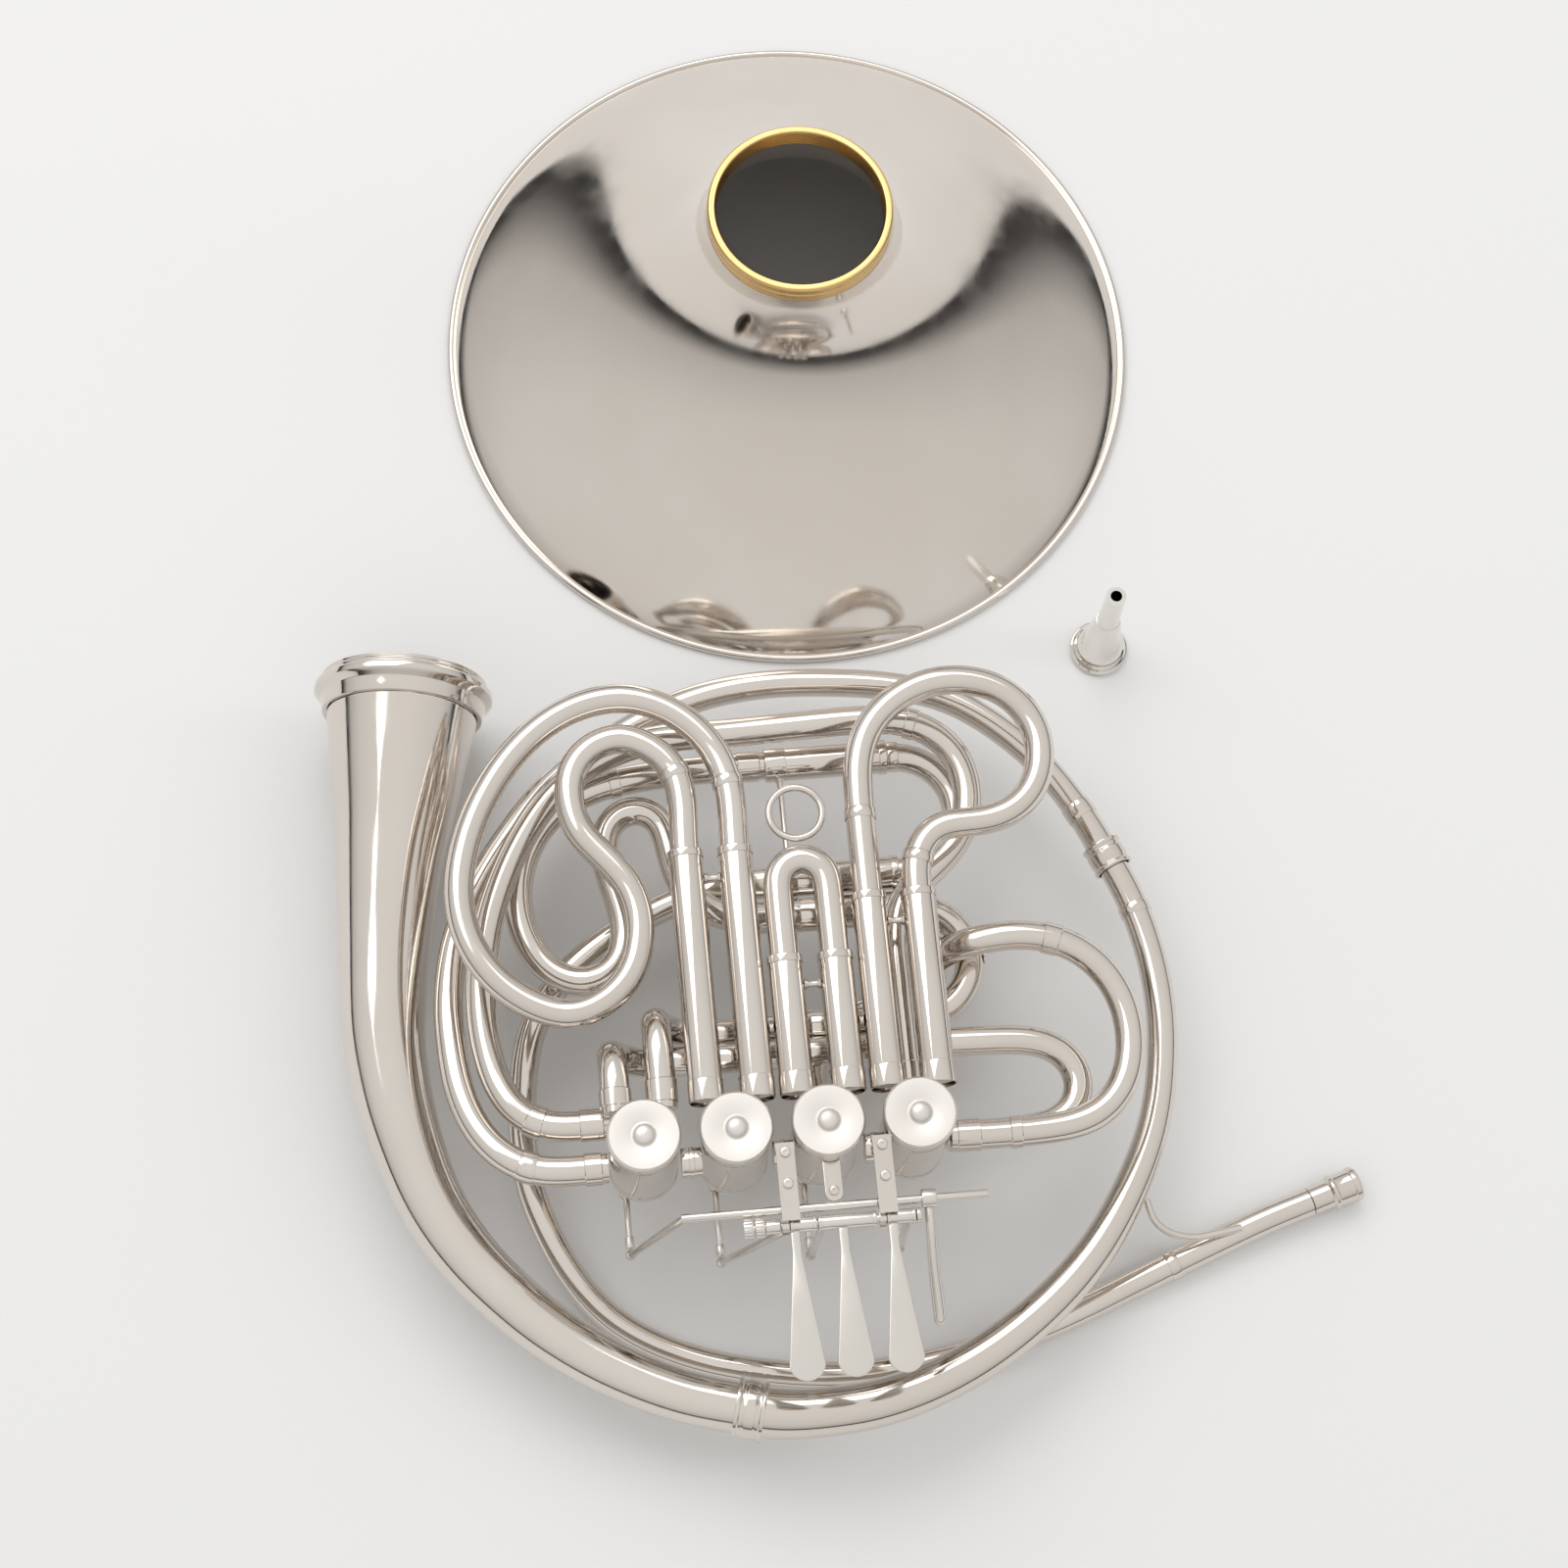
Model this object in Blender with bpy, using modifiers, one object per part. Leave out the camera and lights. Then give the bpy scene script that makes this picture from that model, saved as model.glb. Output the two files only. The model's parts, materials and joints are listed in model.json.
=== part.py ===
"""A double french horn lying with its valve caps up, its screw bell and its mouthpiece beside it.

Lengths below are in millimetres, and the helpers turn them into metres. While the horn is built,
X runs along the valve line, Y along the front slides and Z up from the surface that it lies on.
The last step moves the whole assembly so that its origin is under the middle of its box.
"""

import math

import bmesh
import bpy
from mathutils import Matrix, Vector

MM = 0.001

# Fits
GAP = 0.3
SEAT = 0.35

# Bell, screwed off and standing on its rim
BELL_DIAMETER = 310.0
BELL_HEIGHT = 131.0
BELL_WALL = 1.2
BELL_CENTRE = (42.0, 384.7)
BELL_RING_OUTER = 79.0
BELL_RING_WALL = 3.9
BELL_RING_BORE = BELL_RING_OUTER - 2 * BELL_RING_WALL
BELL_RING_HEIGHT = 9.0
RIM_BEAD = 2.2

# Bell tail and its screw ring
RING_SHOULDER = 2.4
RING_OUTER = BELL_RING_BORE + 2 * RING_SHOULDER
RING_LENGTH = 12.0
RING_THREAD_WALL = 3.6
TAIL_MOUTH = BELL_RING_BORE - 2 * RING_THREAD_WALL
TAIL_MOUTH_Y = 203.0
TAIL_WALL = 1.2
TAIL_BORE_DEPTH = 60.0

# Tubes and slides
TUBE = 12.2
LEADPIPE = 12.0
SLEEVE = 14.2
SLIDE_BORE = 13.3
LEG_RELIEF = 1.0
SLEEVE_MIDWALL = (SLEEVE + SLIDE_BORE) / 4
STAY = 2.6
STAY_Y = 43.0
FERRULE_LENGTH = 12.0
FERRULE_WALL = 1.2

# Receiver and mouthpiece
RECEIVER_OUTER = 15.0
RECEIVER_LENGTH = 22.0
RECEIVER_BORE = 9.6
SOCKET_DEPTH = 12.0
MOUTHPIECE_HEIGHT = 62.0
MOUTHPIECE_RIM = 25.5
CUP_BORE = 17.6
SHANK_OUTER = 8.6
SHANK_BORE = 5.0
MOUTHPIECE_PLACE = (166.0, 226.2)

# Valves
VALVE_PITCH = 36.5
CASING_OUTER = 28.4
CASING_BORE = 25.8
CASING_BOTTOM = 38.0
CASING_TOP = 90.0
CAP_OUTER = 29.6
CAP_THICKNESS = 4.4
NIPPLE_OUTER = 11.0
NIPPLE_HEIGHT = 3.0
ROTOR_OUTER = 25.0
SPINDLE = 6.0
PLATE_THICKNESS = 2.2
STOP_ARM_THICKNESS = 2.9
ARM_HUB = 9.0
PIN_OFFSET = 8.0
CORK = 4.4
CORK_RADIUS = 9.5
CORK_ANGLE = 80.0
CORK_DROP = 8.0
REST_TAB_WIDTH = 7.2
REST_TAB_REACH = 31.0
REST_TAB_Z = 84.0

# Heights of the tube layers
FRONT_Z = 80.0
MIDDLE_Z = 62.0
REAR_Z = 48.0
TUNING_Z = 40.0

# Front slides
LEG_SPREAD = 10.2
SLEEVE_TOPS = (120.0, 72.0, 96.0)
PULL_RING = 25.0
PULL_RING_WIRE = 3.0

# Rear tuning slides
TUNING_LEGS = (117.0, 169.0)
B_FLAT_LEGS = (53.0, 101.5)
REAR_SLEEVE_X = (10.0, 62.0)

# Levers
HINGE_Y = -40.5
HINGE_Z = 92.0
HINGE_ROD = 3.2
HUB_OUTER = 5.8
HUB_BORE = 4.1
ARM_DROP = 61.0
ARM_WIDTH = 3.2
BALL = 4.4
LINK = 2.6
EYE = 5.2
EYE_HEIGHT = 2.4
PADDLE_LENGTH = 61.0
PADDLE_WIDTH = 14.4
PADDLE_NECK = 3.6
PADDLE_THICKNESS = 2.0
LEVER_NECKS = (0.9, 19.8, 39.4)
LEVER_HUBS = ((-0.9, 9.6), (10.2, 33.2), (37.2, 48.6))
SHAFT_Y = -34.2
SHAFT = 3.5
SHAFT_ENDS = (-43.0, 78.0)
THUMB_X = 54.5
STRAP_X = (-0.3, 38.0)
STRAP_WIDTH = 7.7
STRAP_THICKNESS = 1.6
STRAP_Z = 96.2
POST_Y = (-11.5, -8.5)
BRACKET_HUB = 7.0
BEARING = 6.4

TUBE_SIDES = 2
VALVE_NAMES = ("change", "first", "second", "third")

NICKEL = ("nickel_silver", (0.62, 0.58, 0.54), 0.16, 1.0)
CAP_METAL = ("satin_nickel", (0.70, 0.67, 0.63), 0.32, 1.0)
BRASS = ("gold_brass", (0.80, 0.56, 0.26), 0.25, 1.0)
STEEL = ("lever_steel", (0.66, 0.64, 0.62), 0.22, 1.0)
CORK_BLACK = ("black_cork", (0.04, 0.04, 0.04), 0.8, 0.0)
SILVER = ("silver_plate", (0.75, 0.73, 0.70), 0.10, 1.0)


def clear_scene():
    for obj in list(bpy.data.objects):
        bpy.data.objects.remove(obj, do_unlink=True)


def new_collection(name):
    collection = bpy.data.collections.new(name)
    bpy.context.scene.collection.children.link(collection)
    return collection


def material(finish):
    name, colour, roughness, metallic = finish
    found = bpy.data.materials.get(name)
    if found:
        return found
    made = bpy.data.materials.new(name)
    made.use_nodes = True
    shader = made.node_tree.nodes["Principled BSDF"]
    shader.inputs["Base Color"].default_value = (*colour, 1.0)
    shader.inputs["Roughness"].default_value = roughness
    shader.inputs["Metallic"].default_value = metallic
    made.diffuse_color = (*colour, 1.0)
    return made


def metres(point):
    return Vector(point) * MM


def add_object(name, data, finish):
    obj = bpy.data.objects.new(name, data)
    HORN.objects.link(obj)
    data.materials.append(material(finish))
    return obj


def mesh_object(name, bm, finish):
    bmesh.ops.recalc_face_normals(bm, faces=bm.faces)
    mesh = bpy.data.meshes.new(name)
    bm.to_mesh(mesh)
    bm.free()
    mesh.shade_smooth()
    mesh.set_sharp_from_angle(angle=math.radians(35))
    return add_object(name, mesh, finish)


def as_cutter(obj):
    HORN.objects.unlink(obj)
    CUTTERS.objects.link(obj)
    obj.hide_render = True
    obj.display_type = "WIRE"
    return obj


def combine(obj, others, operation):
    for other in others:
        modifier = obj.modifiers.new(operation.lower(), "BOOLEAN")
        modifier.operation = operation
        modifier.solver = "EXACT"
        modifier.object = as_cutter(other)
    return obj


def smooth_route(points, steps):
    """Points along a Catmull-Rom curve through the given (x, y, z, diameter) stations."""
    stations = [Vector(p) for p in points]
    stations.insert(0, stations[0] * 2 - stations[1])
    stations.append(stations[-1] * 2 - stations[-2])
    route = []
    for a, b, c, d in zip(stations, stations[1:], stations[2:], stations[3:]):
        for step in range(steps):
            t = step / steps
            spread = b * 2 + (c - a) * t + (a * 2 - b * 5 + c * 4 - d) * t**2
            route.append((spread + (b * 3 - a - c * 3 + d) * t**3) / 2)
    route.append(stations[-2])
    return route


def arc(centre, radius, first, last, count, z, diameter):
    """Stations of a bend in the XY plane, with angles in degrees."""
    stations = []
    for step in range(count + 1):
        angle = math.radians(first + (last - first) * step / count)
        x = centre[0] + radius * math.cos(angle)
        y = centre[1] + radius * math.sin(angle)
        stations.append((x, y, z, diameter))
    return stations


def tube(name, route, finish, sides=TUBE_SIDES):
    """A round tube with filled ends along (x, y, z, diameter) points."""
    data = bpy.data.curves.new(name, "CURVE")
    data.dimensions = "3D"
    data.bevel_depth = MM
    data.bevel_resolution = sides
    data.use_fill_caps = True
    spline = data.splines.new("POLY")
    spline.points.add(len(route) - 1)
    for point, (x, y, z, diameter) in zip(spline.points, route):
        point.co = (x * MM, y * MM, z * MM, 1.0)
        point.radius = diameter / 2
    spline.use_smooth = True
    return add_object(name, data, finish)


def tube_mesh(name, route, finish, sides=TUBE_SIDES):
    """The same tube as a closed mesh, for Booleans."""
    curve = tube(name, route, finish, sides)
    bpy.context.view_layer.update()
    graph = bpy.context.evaluated_depsgraph_get()
    mesh = bpy.data.meshes.new_from_object(curve.evaluated_get(graph))
    bm = bmesh.new()
    bm.from_mesh(mesh)
    bmesh.ops.remove_doubles(bm, verts=bm.verts, dist=0.00001)
    bm.to_mesh(mesh)
    bm.free()
    mesh.materials.clear()
    place = curve.matrix_world.copy()
    bpy.data.objects.remove(curve, do_unlink=True)
    obj = add_object(name, mesh, finish)
    obj.matrix_world = place
    return obj


def turned(name, profile, finish, steps=16, place=(0, 0, 0), axis=(0, 0, 1), closed=False):
    """A turned piece. The profile is (radius, height), down its outer side, or round a closed ring."""
    mesh = bpy.data.meshes.new(name)
    bm = bmesh.new()
    corners = [bm.verts.new((r * MM, 0, z * MM)) for r, z in profile]
    pairs = list(zip(corners, corners[1:]))
    if closed:
        pairs.append((corners[-1], corners[0]))
    for pair in pairs:
        bm.edges.new(pair)
    bm.to_mesh(mesh)
    bm.free()
    obj = add_object(name, mesh, finish)
    screw = obj.modifiers.new("turn", "SCREW")
    screw.axis = "Z"
    screw.steps = steps
    screw.render_steps = steps
    screw.use_merge_vertices = True
    screw.merge_threshold = 0.00001
    screw.use_smooth_shade = True
    obj.location = metres(place)
    obj.rotation_euler = Vector(axis).to_track_quat("Z", "Y").to_euler()
    return obj


def pipe(name, outer, bore, start, end, finish, steps=12):
    """A straight open tube between two points."""
    length = (Vector(end) - Vector(start)).length
    ring = [(outer / 2, length), (outer / 2, 0), (bore / 2, 0), (bore / 2, length)]
    axis = Vector(end) - Vector(start)
    return turned(name, ring, finish, steps, start, axis, closed=True)


def rod_mesh(name, start, end, diameter, finish, sides=12):
    """A solid round bar between two points, as a mesh."""
    start, end = Vector(start), Vector(end)
    bm = bmesh.new()
    turn = (end - start).to_track_quat("Z", "Y").to_matrix().to_4x4()
    place = Matrix.Translation((start + end) / 2 * MM) @ turn
    radius = diameter / 2 * MM
    length = (end - start).length * MM
    bmesh.ops.create_cone(
        bm, cap_ends=True, segments=sides, radius1=radius, radius2=radius, depth=length, matrix=place
    )
    return mesh_object(name, bm, finish)


def block(name, low, high, finish):
    """A box between two corners."""
    bm = bmesh.new()
    low, high = Vector(low), Vector(high)
    size = (high - low) * MM
    place = Matrix.Translation((low + high) / 2 * MM) @ Matrix.Diagonal((*size, 1))
    bmesh.ops.create_cube(bm, size=1, matrix=place)
    return mesh_object(name, bm, finish)


def flatten(obj, finish):
    """Applies an object's modifiers and its placement, so that its origin can be moved."""
    bpy.context.view_layer.update()
    graph = bpy.context.evaluated_depsgraph_get()
    name = obj.name
    mesh = bpy.data.meshes.new_from_object(obj.evaluated_get(graph))
    mesh.transform(obj.matrix_world)
    bm = bmesh.new()
    bm.from_mesh(mesh)
    bpy.data.meshes.remove(mesh)
    bpy.data.objects.remove(obj, do_unlink=True)
    bmesh.ops.remove_doubles(bm, verts=bm.verts, dist=0.00001)
    return mesh_object(name, bm, finish)


def braced_sleeves(name, first, second, brace):
    """Two open sleeves, each given as a (start, end) pair, with a brace soldered between their walls."""
    left = pipe(f"{name}_sleeves", SLEEVE, SLIDE_BORE, *first, NICKEL)
    right = pipe(f"{name}_second_sleeve", SLEEVE, SLIDE_BORE, *second, NICKEL)
    bar = rod_mesh(f"{name}_brace", *brace, STAY, NICKEL, 8)
    return combine(left, [right, bar], "UNION")


def set_origin(obj, point):
    """Puts a moving piece's origin on its joint."""
    bpy.context.view_layer.update()
    shift = metres(point) - obj.matrix_world.translation
    local = obj.matrix_world.inverted().to_3x3() @ shift
    if obj.type == "CURVE":
        for spline in obj.data.splines:
            for station in spline.points:
                station.co = (*(Vector(station.co[:3]) - local), 1.0)
    else:
        obj.data.transform(Matrix.Translation(-local))
    obj.matrix_world.translation = metres(point)


def valve_x(index):
    return (index - 1.5) * VALVE_PITCH


def casing_reach(offset=0.0):
    """How far the casing and its gap reach at an offset from its axis."""
    radius = CASING_OUTER / 2 + GAP
    return math.sqrt(radius**2 - offset**2)


def in_line(route, length):
    """The start of the next tube, square to this one's end, and a point in line further on."""
    last, before = Vector(route[-1]), Vector(route[-2])
    along = last - before
    along[3] = 0
    along.normalize()
    return [tuple(last + along * 2 * GAP), tuple(last + along * length)]


def tail_stations():
    """Bell tail centreline, from the screw ring round to the first ferrule."""
    ring_z = RING_OUTER / 2
    return [
        (-141.9, TAIL_MOUTH_Y, ring_z, TAIL_MOUTH),
        (-144.5, 183.0, ring_z, 58.0),
        (-147.0, 163.5, 37.5, 52.3),
        (-150.5, 141.0, 37.0, 45.5),
        (-154.5, 106.0, 36.0, 39.1),
        (-157.0, 74.0, 36.0, 35.6),
        (-156.6, 55.0, 35.5, 33.4),
        (-153.0, 30.0, 35.0, 31.0),
        (-143.5, -3.0, 34.0, 27.6),
        (-130.0, -28.0, 34.0, 25.6),
        (-112.0, -49.5, 33.5, 24.2),
        (-94.0, -66.0, 33.0, 23.2),
        (-72.0, -81.0, 33.0, 22.2),
        (-46.0, -93.5, 33.0, 21.4),
        (-20.0, -101.0, 33.0, 20.8),
    ]


def branch_stations():
    """First branch, from the ferrule under the levers up the right side."""
    start = in_line(smooth_route(tail_stations(), 2), 10.0)
    return start + [
        (8.0, -104.6, 33.0, 20.0),
        (32.0, -103.0, 33.0, 19.4),
        (58.0, -96.0, 33.0, 18.6),
        (84.0, -83.5, 33.0, 17.8),
        (110.0, -65.0, 33.0, 16.8),
        (131.0, -43.5, 33.0, 15.6),
        (149.0, -16.0, 33.0, 14.4),
        (159.5, 8.5, 33.0, 13.4),
        (165.3, 37.0, 33.0, 13.0),
        (166.3, 60.0, 33.0, 13.0),
        (164.0, 82.0, 33.0, 12.8),
        (159.0, 102.0, 33.0, 12.8),
        (152.3, 119.0, 33.0, 12.8),
    ]


def return_stations():
    """Second branch, over the top and down the left side to the change valve."""
    end_x = valve_x(0) - casing_reach()
    start = in_line(smooth_route(branch_stations(), 2), 8.0)
    points = [
        (141.5, 143.0, 33.0),
        (127.5, 165.0, 33.0),
        (109.0, 184.0, 33.0),
        (89.5, 197.0, 33.0),
        (66.0, 204.0, 33.0),
        (39.0, 207.5, 33.0),
        (15.0, 208.5, 33.0),
        (-9.0, 206.0, 33.0),
        (-32.0, 199.0, 33.0),
        (-57.0, 186.5, 33.0),
        (-79.5, 171.0, 34.0),
        (-98.0, 149.5, 37.0),
        (-113.5, 125.5, 42.0),
        (-124.5, 101.0, 47.0),
        (-129.3, 74.0, 51.0),
        (-129.2, 53.5, 54.0),
        (-127.0, 33.5, 57.0),
        (-121.5, 17.5, 59.0),
        (-113.0, 5.5, 61.0),
        (-103.0, -1.6, MIDDLE_Z),
        (-92.0, -4.5, MIDDLE_Z),
        (end_x, -4.7, MIDDLE_Z),
    ]
    return start + [(*point, TUBE) for point in points]


def leadpipe_stations():
    """From the receiver, under the tail and up the left side to the main tuning slide."""
    low = LEADPIPE / 2
    points = [
        (222.6, -31.0, 7.5),
        (201.5, -37.5, 7.2),
        (171.5, -48.5, 6.6),
        (146.5, -58.0, low),
        (119.5, -68.5, low),
        (96.0, -76.0, low),
        (60.0, -84.0, low),
        (20.0, -86.5, low),
        (-20.0, -80.5, low),
        (-50.0, -70.0, low),
        (-72.0, -56.0, 8.0),
        (-86.0, -39.0, 12.0),
        (-95.5, -20.0, 16.0),
        (-101.5, -1.0, 20.0),
        (-103.3, 18.0, 23.0),
        (-101.5, 43.0, 26.0),
        (-95.5, 66.0, 28.0),
        (-80.5, 87.0, 29.0),
        (-56.0, 104.0, 30.0),
        (-30.0, 114.5, 33.0),
        (-10.0, TUNING_LEGS[0], 38.0),
        (REAR_SLEEVE_X[0] - GAP, TUNING_LEGS[0], TUNING_Z),
    ]
    return [(*point, LEADPIPE) for point in points]


def second_return_stations():
    """From the change valve, up the left side, across the top and back to the third valve."""
    start_x = valve_x(0) - casing_reach(7.0)
    lift = 53.6
    points = [
        (start_x, 13.2, 63.0),
        (-82.5, 13.2, 63.0),
        (-93.5, 14.5, 62.5),
        (-103.5, 20.5, 62.0),
        (-110.8, 32.0, 61.0),
        (-114.6, 47.5, 60.0),
        (-116.0, 66.0, 59.5),
        (-114.0, 88.0, 59.5),
        (-108.0, 111.0, 59.5),
        (-96.0, 136.0, 59.5),
        (-79.0, 158.0, 59.5),
        (-58.0, 172.0, 58.0),
        (-34.0, 178.5, 56.0),
        (-2.0, 180.0, lift),
        (28.0, 181.0, lift),
        (50.0, 181.5, lift),
        (68.0, 180.0, lift),
        (82.0, 173.0, lift),
        (90.5, 162.0, lift),
        (93.5, 148.0, lift),
        (91.5, 134.0, lift),
        (84.0, 121.0, 54.5),
        (72.0, 110.0, 56.5),
        (61.0, 99.0, 59.0),
        (55.5, 85.0, 61.0),
        (valve_x(3), 68.0, MIDDLE_Z),
        (valve_x(3), 40.0, MIDDLE_Z),
        (valve_x(3), casing_reach(), MIDDLE_Z),
    ]
    return [(*point, TUBE) for point in points]


def front_loop_stations():
    """The wide loop right of the third valve, back under the slides to the second."""
    start_x = valve_x(3) + casing_reach()
    points = [
        (start_x, -3.2, MIDDLE_Z),
        (90.0, -3.6, MIDDLE_Z),
        (107.0, -3.4, MIDDLE_Z),
        (122.5, -1.8, MIDDLE_Z),
        (134.0, 3.6, MIDDLE_Z),
        (142.3, 13.4, MIDDLE_Z),
        (146.6, 26.0, MIDDLE_Z),
        (147.0, 41.5, MIDDLE_Z),
        (143.0, 55.5, MIDDLE_Z),
        (134.5, 67.5, MIDDLE_Z),
        (122.0, 75.8, MIDDLE_Z),
        (106.5, 79.2, MIDDLE_Z),
        (91.0, 79.0, 60.0),
        (78.0, 78.0, 53.0),
        (71.0, 75.0, 42.0),
        (66.0, 70.0, 31.0),
        (55.0, 65.0, 25.0),
        (38.0, 60.0, 24.0),
        (24.0, 52.0, 25.0),
        (valve_x(2), 39.0, 28.5),
        (valve_x(2), 26.0, 36.5),
        (valve_x(2), casing_reach() + 4.0, 44.0),
    ]
    return [(*point, TUBE) for point in points]


def rear_loop_stations():
    """From the change valve down to the long rear tube and its small loop at the third valve."""
    stub_x = valve_x(0) - 9.8
    points = [
        (stub_x, casing_reach(9.8 - TUBE / 2), 75.0),
        (stub_x, 26.0, 75.0),
        (stub_x, 36.0, 73.0),
        (stub_x, 41.5, 65.0),
        (stub_x + 2.0, 42.5, 55.0),
        (-54.5, 41.0, 49.0),
        (-40.0, 40.4, REAR_Z),
        (0.0, 40.2, REAR_Z),
        (55.0, 40.0, REAR_Z),
        (93.0, 39.0, REAR_Z),
        (108.5, 37.6, REAR_Z),
        (119.0, 33.0, REAR_Z),
        (125.3, 24.5, REAR_Z),
        (126.0, 14.5, REAR_Z),
        (121.5, 6.5, REAR_Z),
        (112.0, 1.5, REAR_Z),
        (95.0, 0.0, REAR_Z),
        (valve_x(3) + casing_reach(), 0.0, REAR_Z),
    ]
    return [(*point, TUBE) for point in points]


def change_elbow_stations():
    """From the change valve down to the rear tuning slide's lower leg."""
    stub_x = valve_x(0) + 8.8
    points = [
        (stub_x, casing_reach(8.8 - TUBE / 2), 75.0),
        (stub_x, 36.0, 75.0),
        (stub_x, 47.0, 73.0),
        (stub_x, 54.0, 65.0),
        (stub_x + 1.5, 55.0, 54.0),
        (-38.0, 54.0, 43.5),
        (-26.0, B_FLAT_LEGS[0], TUNING_Z),
        (REAR_SLEEVE_X[0] - GAP, B_FLAT_LEGS[0], TUNING_Z),
    ]
    return [(*point, TUBE) for point in points]


def inner_loop_stations():
    """From the main tuning slide round the inner left loop and the small arch to the rear slide."""
    points = [
        (REAR_SLEEVE_X[0] - GAP, TUNING_LEGS[1], TUNING_Z),
        (-12.0, 168.5, 42.0),
        (-36.0, 166.5, 45.0),
        (-60.0, 163.0, 46.0),
        (-79.0, 154.5, 46.0),
        (-92.0, 139.0, 46.0),
        (-97.8, 121.0, 46.0),
        (-97.0, 103.0, 46.0),
        (-89.5, 86.5, 46.0),
        (-77.0, 78.0, 46.5),
        (-64.0, 79.5, 47.0),
        (-55.5, 90.0, 47.0),
        (-55.0, 106.0, 47.0),
        (-59.5, 124.0, 47.0),
        (-61.0, 139.0, 47.0),
        (-55.0, 149.0, 47.0),
        (-45.5, 151.5, 47.0),
        (-36.5, 146.5, 47.0),
        (-33.5, 134.0, 47.0),
        (-30.0, 117.0, 47.0),
        (-20.0, 105.5, 45.0),
        (-6.0, B_FLAT_LEGS[1], 41.5),
        (REAR_SLEEVE_X[0] - GAP, B_FLAT_LEGS[1], TUNING_Z),
    ]
    return [(*point, TUBE) for point in points]


def slide_legs(index):
    """X of the left and right leg of a front slide."""
    centre = valve_x(index + 1)
    return centre - LEG_SPREAD, centre + LEG_SPREAD


def sleeve_foot():
    """Y where a front sleeve meets the casing, at the leg's inner side."""
    return casing_reach(LEG_SPREAD - SLEEVE / 2)


def first_slide_stations():
    """The big question-mark crook of the first valve's slide."""
    left, right = slide_legs(0)
    foot = sleeve_foot() + LEG_RELIEF
    points = [
        (left, foot),
        (left, 70.0),
        (left, 122.0),
        (left + 0.8, 143.0),
        (-32.0, 160.0),
        (-49.0, 171.8),
        (-65.5, 167.5),
        (-73.6, 154.5),
        (-72.0, 134.5),
        (-61.5, 120.5),
        (-52.5, 108.0),
        (-49.0, 92.0),
        (-53.0, 72.5),
        (-65.5, 59.5),
        (-82.5, 55.0),
        (-103.5, 66.5),
        (-117.0, 85.0),
        (-121.5, 105.0),
        (-119.0, 125.0),
        (-111.5, 145.0),
        (-98.5, 165.0),
        (-82.0, 180.0),
        (-64.0, 188.0),
        (-46.5, 189.0),
        (-30.0, 182.5),
        (-17.0, 170.5),
        (-9.8, 156.0),
        (right + 0.6, 139.5),
        (right, 120.0),
        (right, 70.0),
        (right, foot),
    ]
    return [(*point, FRONT_Z, TUBE) for point in points]


def second_slide_stations():
    """The short U of the second valve's slide."""
    left, right = slide_legs(1)
    foot = sleeve_foot() + LEG_RELIEF
    top = 104.2
    bend = arc((valve_x(2), top), LEG_SPREAD, 180, 0, 8, FRONT_Z, TUBE)
    start = [(left, foot, FRONT_Z, TUBE), (left, 60.0, FRONT_Z, TUBE)]
    return start + bend + [(right, 60.0, FRONT_Z, TUBE), (right, foot, FRONT_Z, TUBE)]


def third_slide_stations():
    """The hooked crook of the third valve's slide."""
    left, right = slide_legs(2)
    foot = sleeve_foot() + LEG_RELIEF
    points = [
        (left, foot),
        (left, 60.0),
        (left, 106.0),
        (left + 0.3, 136.0),
        (46.3, 154.5),
        (52.2, 169.0),
        (64.0, 180.0),
        (78.0, 186.0),
        (92.5, 186.6),
        (107.0, 182.0),
        (117.3, 172.0),
        (122.0, 160.0),
        (121.8, 148.0),
        (117.6, 136.8),
        (109.0, 128.0),
        (98.0, 124.0),
        (87.0, 123.8),
        (77.0, 123.2),
        (69.5, 117.5),
        (right + 0.3, 107.0),
        (right, 97.0),
        (right, 60.0),
        (right, foot),
    ]
    return [(*point, FRONT_Z, TUBE) for point in points]


def rear_slide_stations(legs, foot):
    """A plain U slide whose legs run along X."""
    middle = (legs[0] + legs[1]) / 2
    radius = (legs[1] - legs[0]) / 2
    bend_x = REAR_SLEEVE_X[1] + 2.0
    bend = arc((bend_x, middle), radius, -90, 90, 10, TUNING_Z, TUBE)
    start = [(foot, legs[0], TUNING_Z, TUBE)]
    return start + bend + [(foot, legs[1], TUNING_Z, TUBE)]


def build_bell():
    outline = []
    throat = BELL_RING_OUTER / 2 - 0.6
    steps = 8
    top = BELL_HEIGHT - BELL_RING_HEIGHT - GAP
    for step in range(steps + 1):
        share = step / steps
        spread = throat + (BELL_DIAMETER / 2 - RIM_BEAD - throat) * share**2.1
        height = top * (1 - share) ** 0.86 + RIM_BEAD
        if step == steps:
            height = RIM_BEAD
        outline.append((spread, min(height, top)))
    rim = BELL_DIAMETER / 2
    bead = [(rim, RIM_BEAD), (rim, RIM_BEAD / 2), (rim - RIM_BEAD / 2, 0), (rim - RIM_BEAD * 2, 0)]
    inner = [(r - BELL_WALL * 1.2, z - BELL_WALL * 0.9) for r, z in outline[1:-1]]
    inner.append((rim - RIM_BEAD * 2.4, RIM_BEAD * 0.8))
    inside_top = [(throat - BELL_WALL * 1.2, top)]
    profile = outline + bead + inner[::-1] + inside_top
    place = (*BELL_CENTRE, 0)
    turned("bell_flare", profile, NICKEL, 32, place, closed=True)
    low = BELL_HEIGHT - BELL_RING_HEIGHT
    outer, bore = BELL_RING_OUTER / 2, BELL_RING_BORE / 2
    ring = [
        (outer - 0.8, BELL_HEIGHT),
        (outer, BELL_HEIGHT - 0.8),
        (outer, low),
        (bore, low),
        (bore, BELL_HEIGHT - 0.8),
        (bore + 0.8, BELL_HEIGHT),
    ]
    turned("bell_ring", ring, BRASS, 28, place, closed=True)


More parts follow.
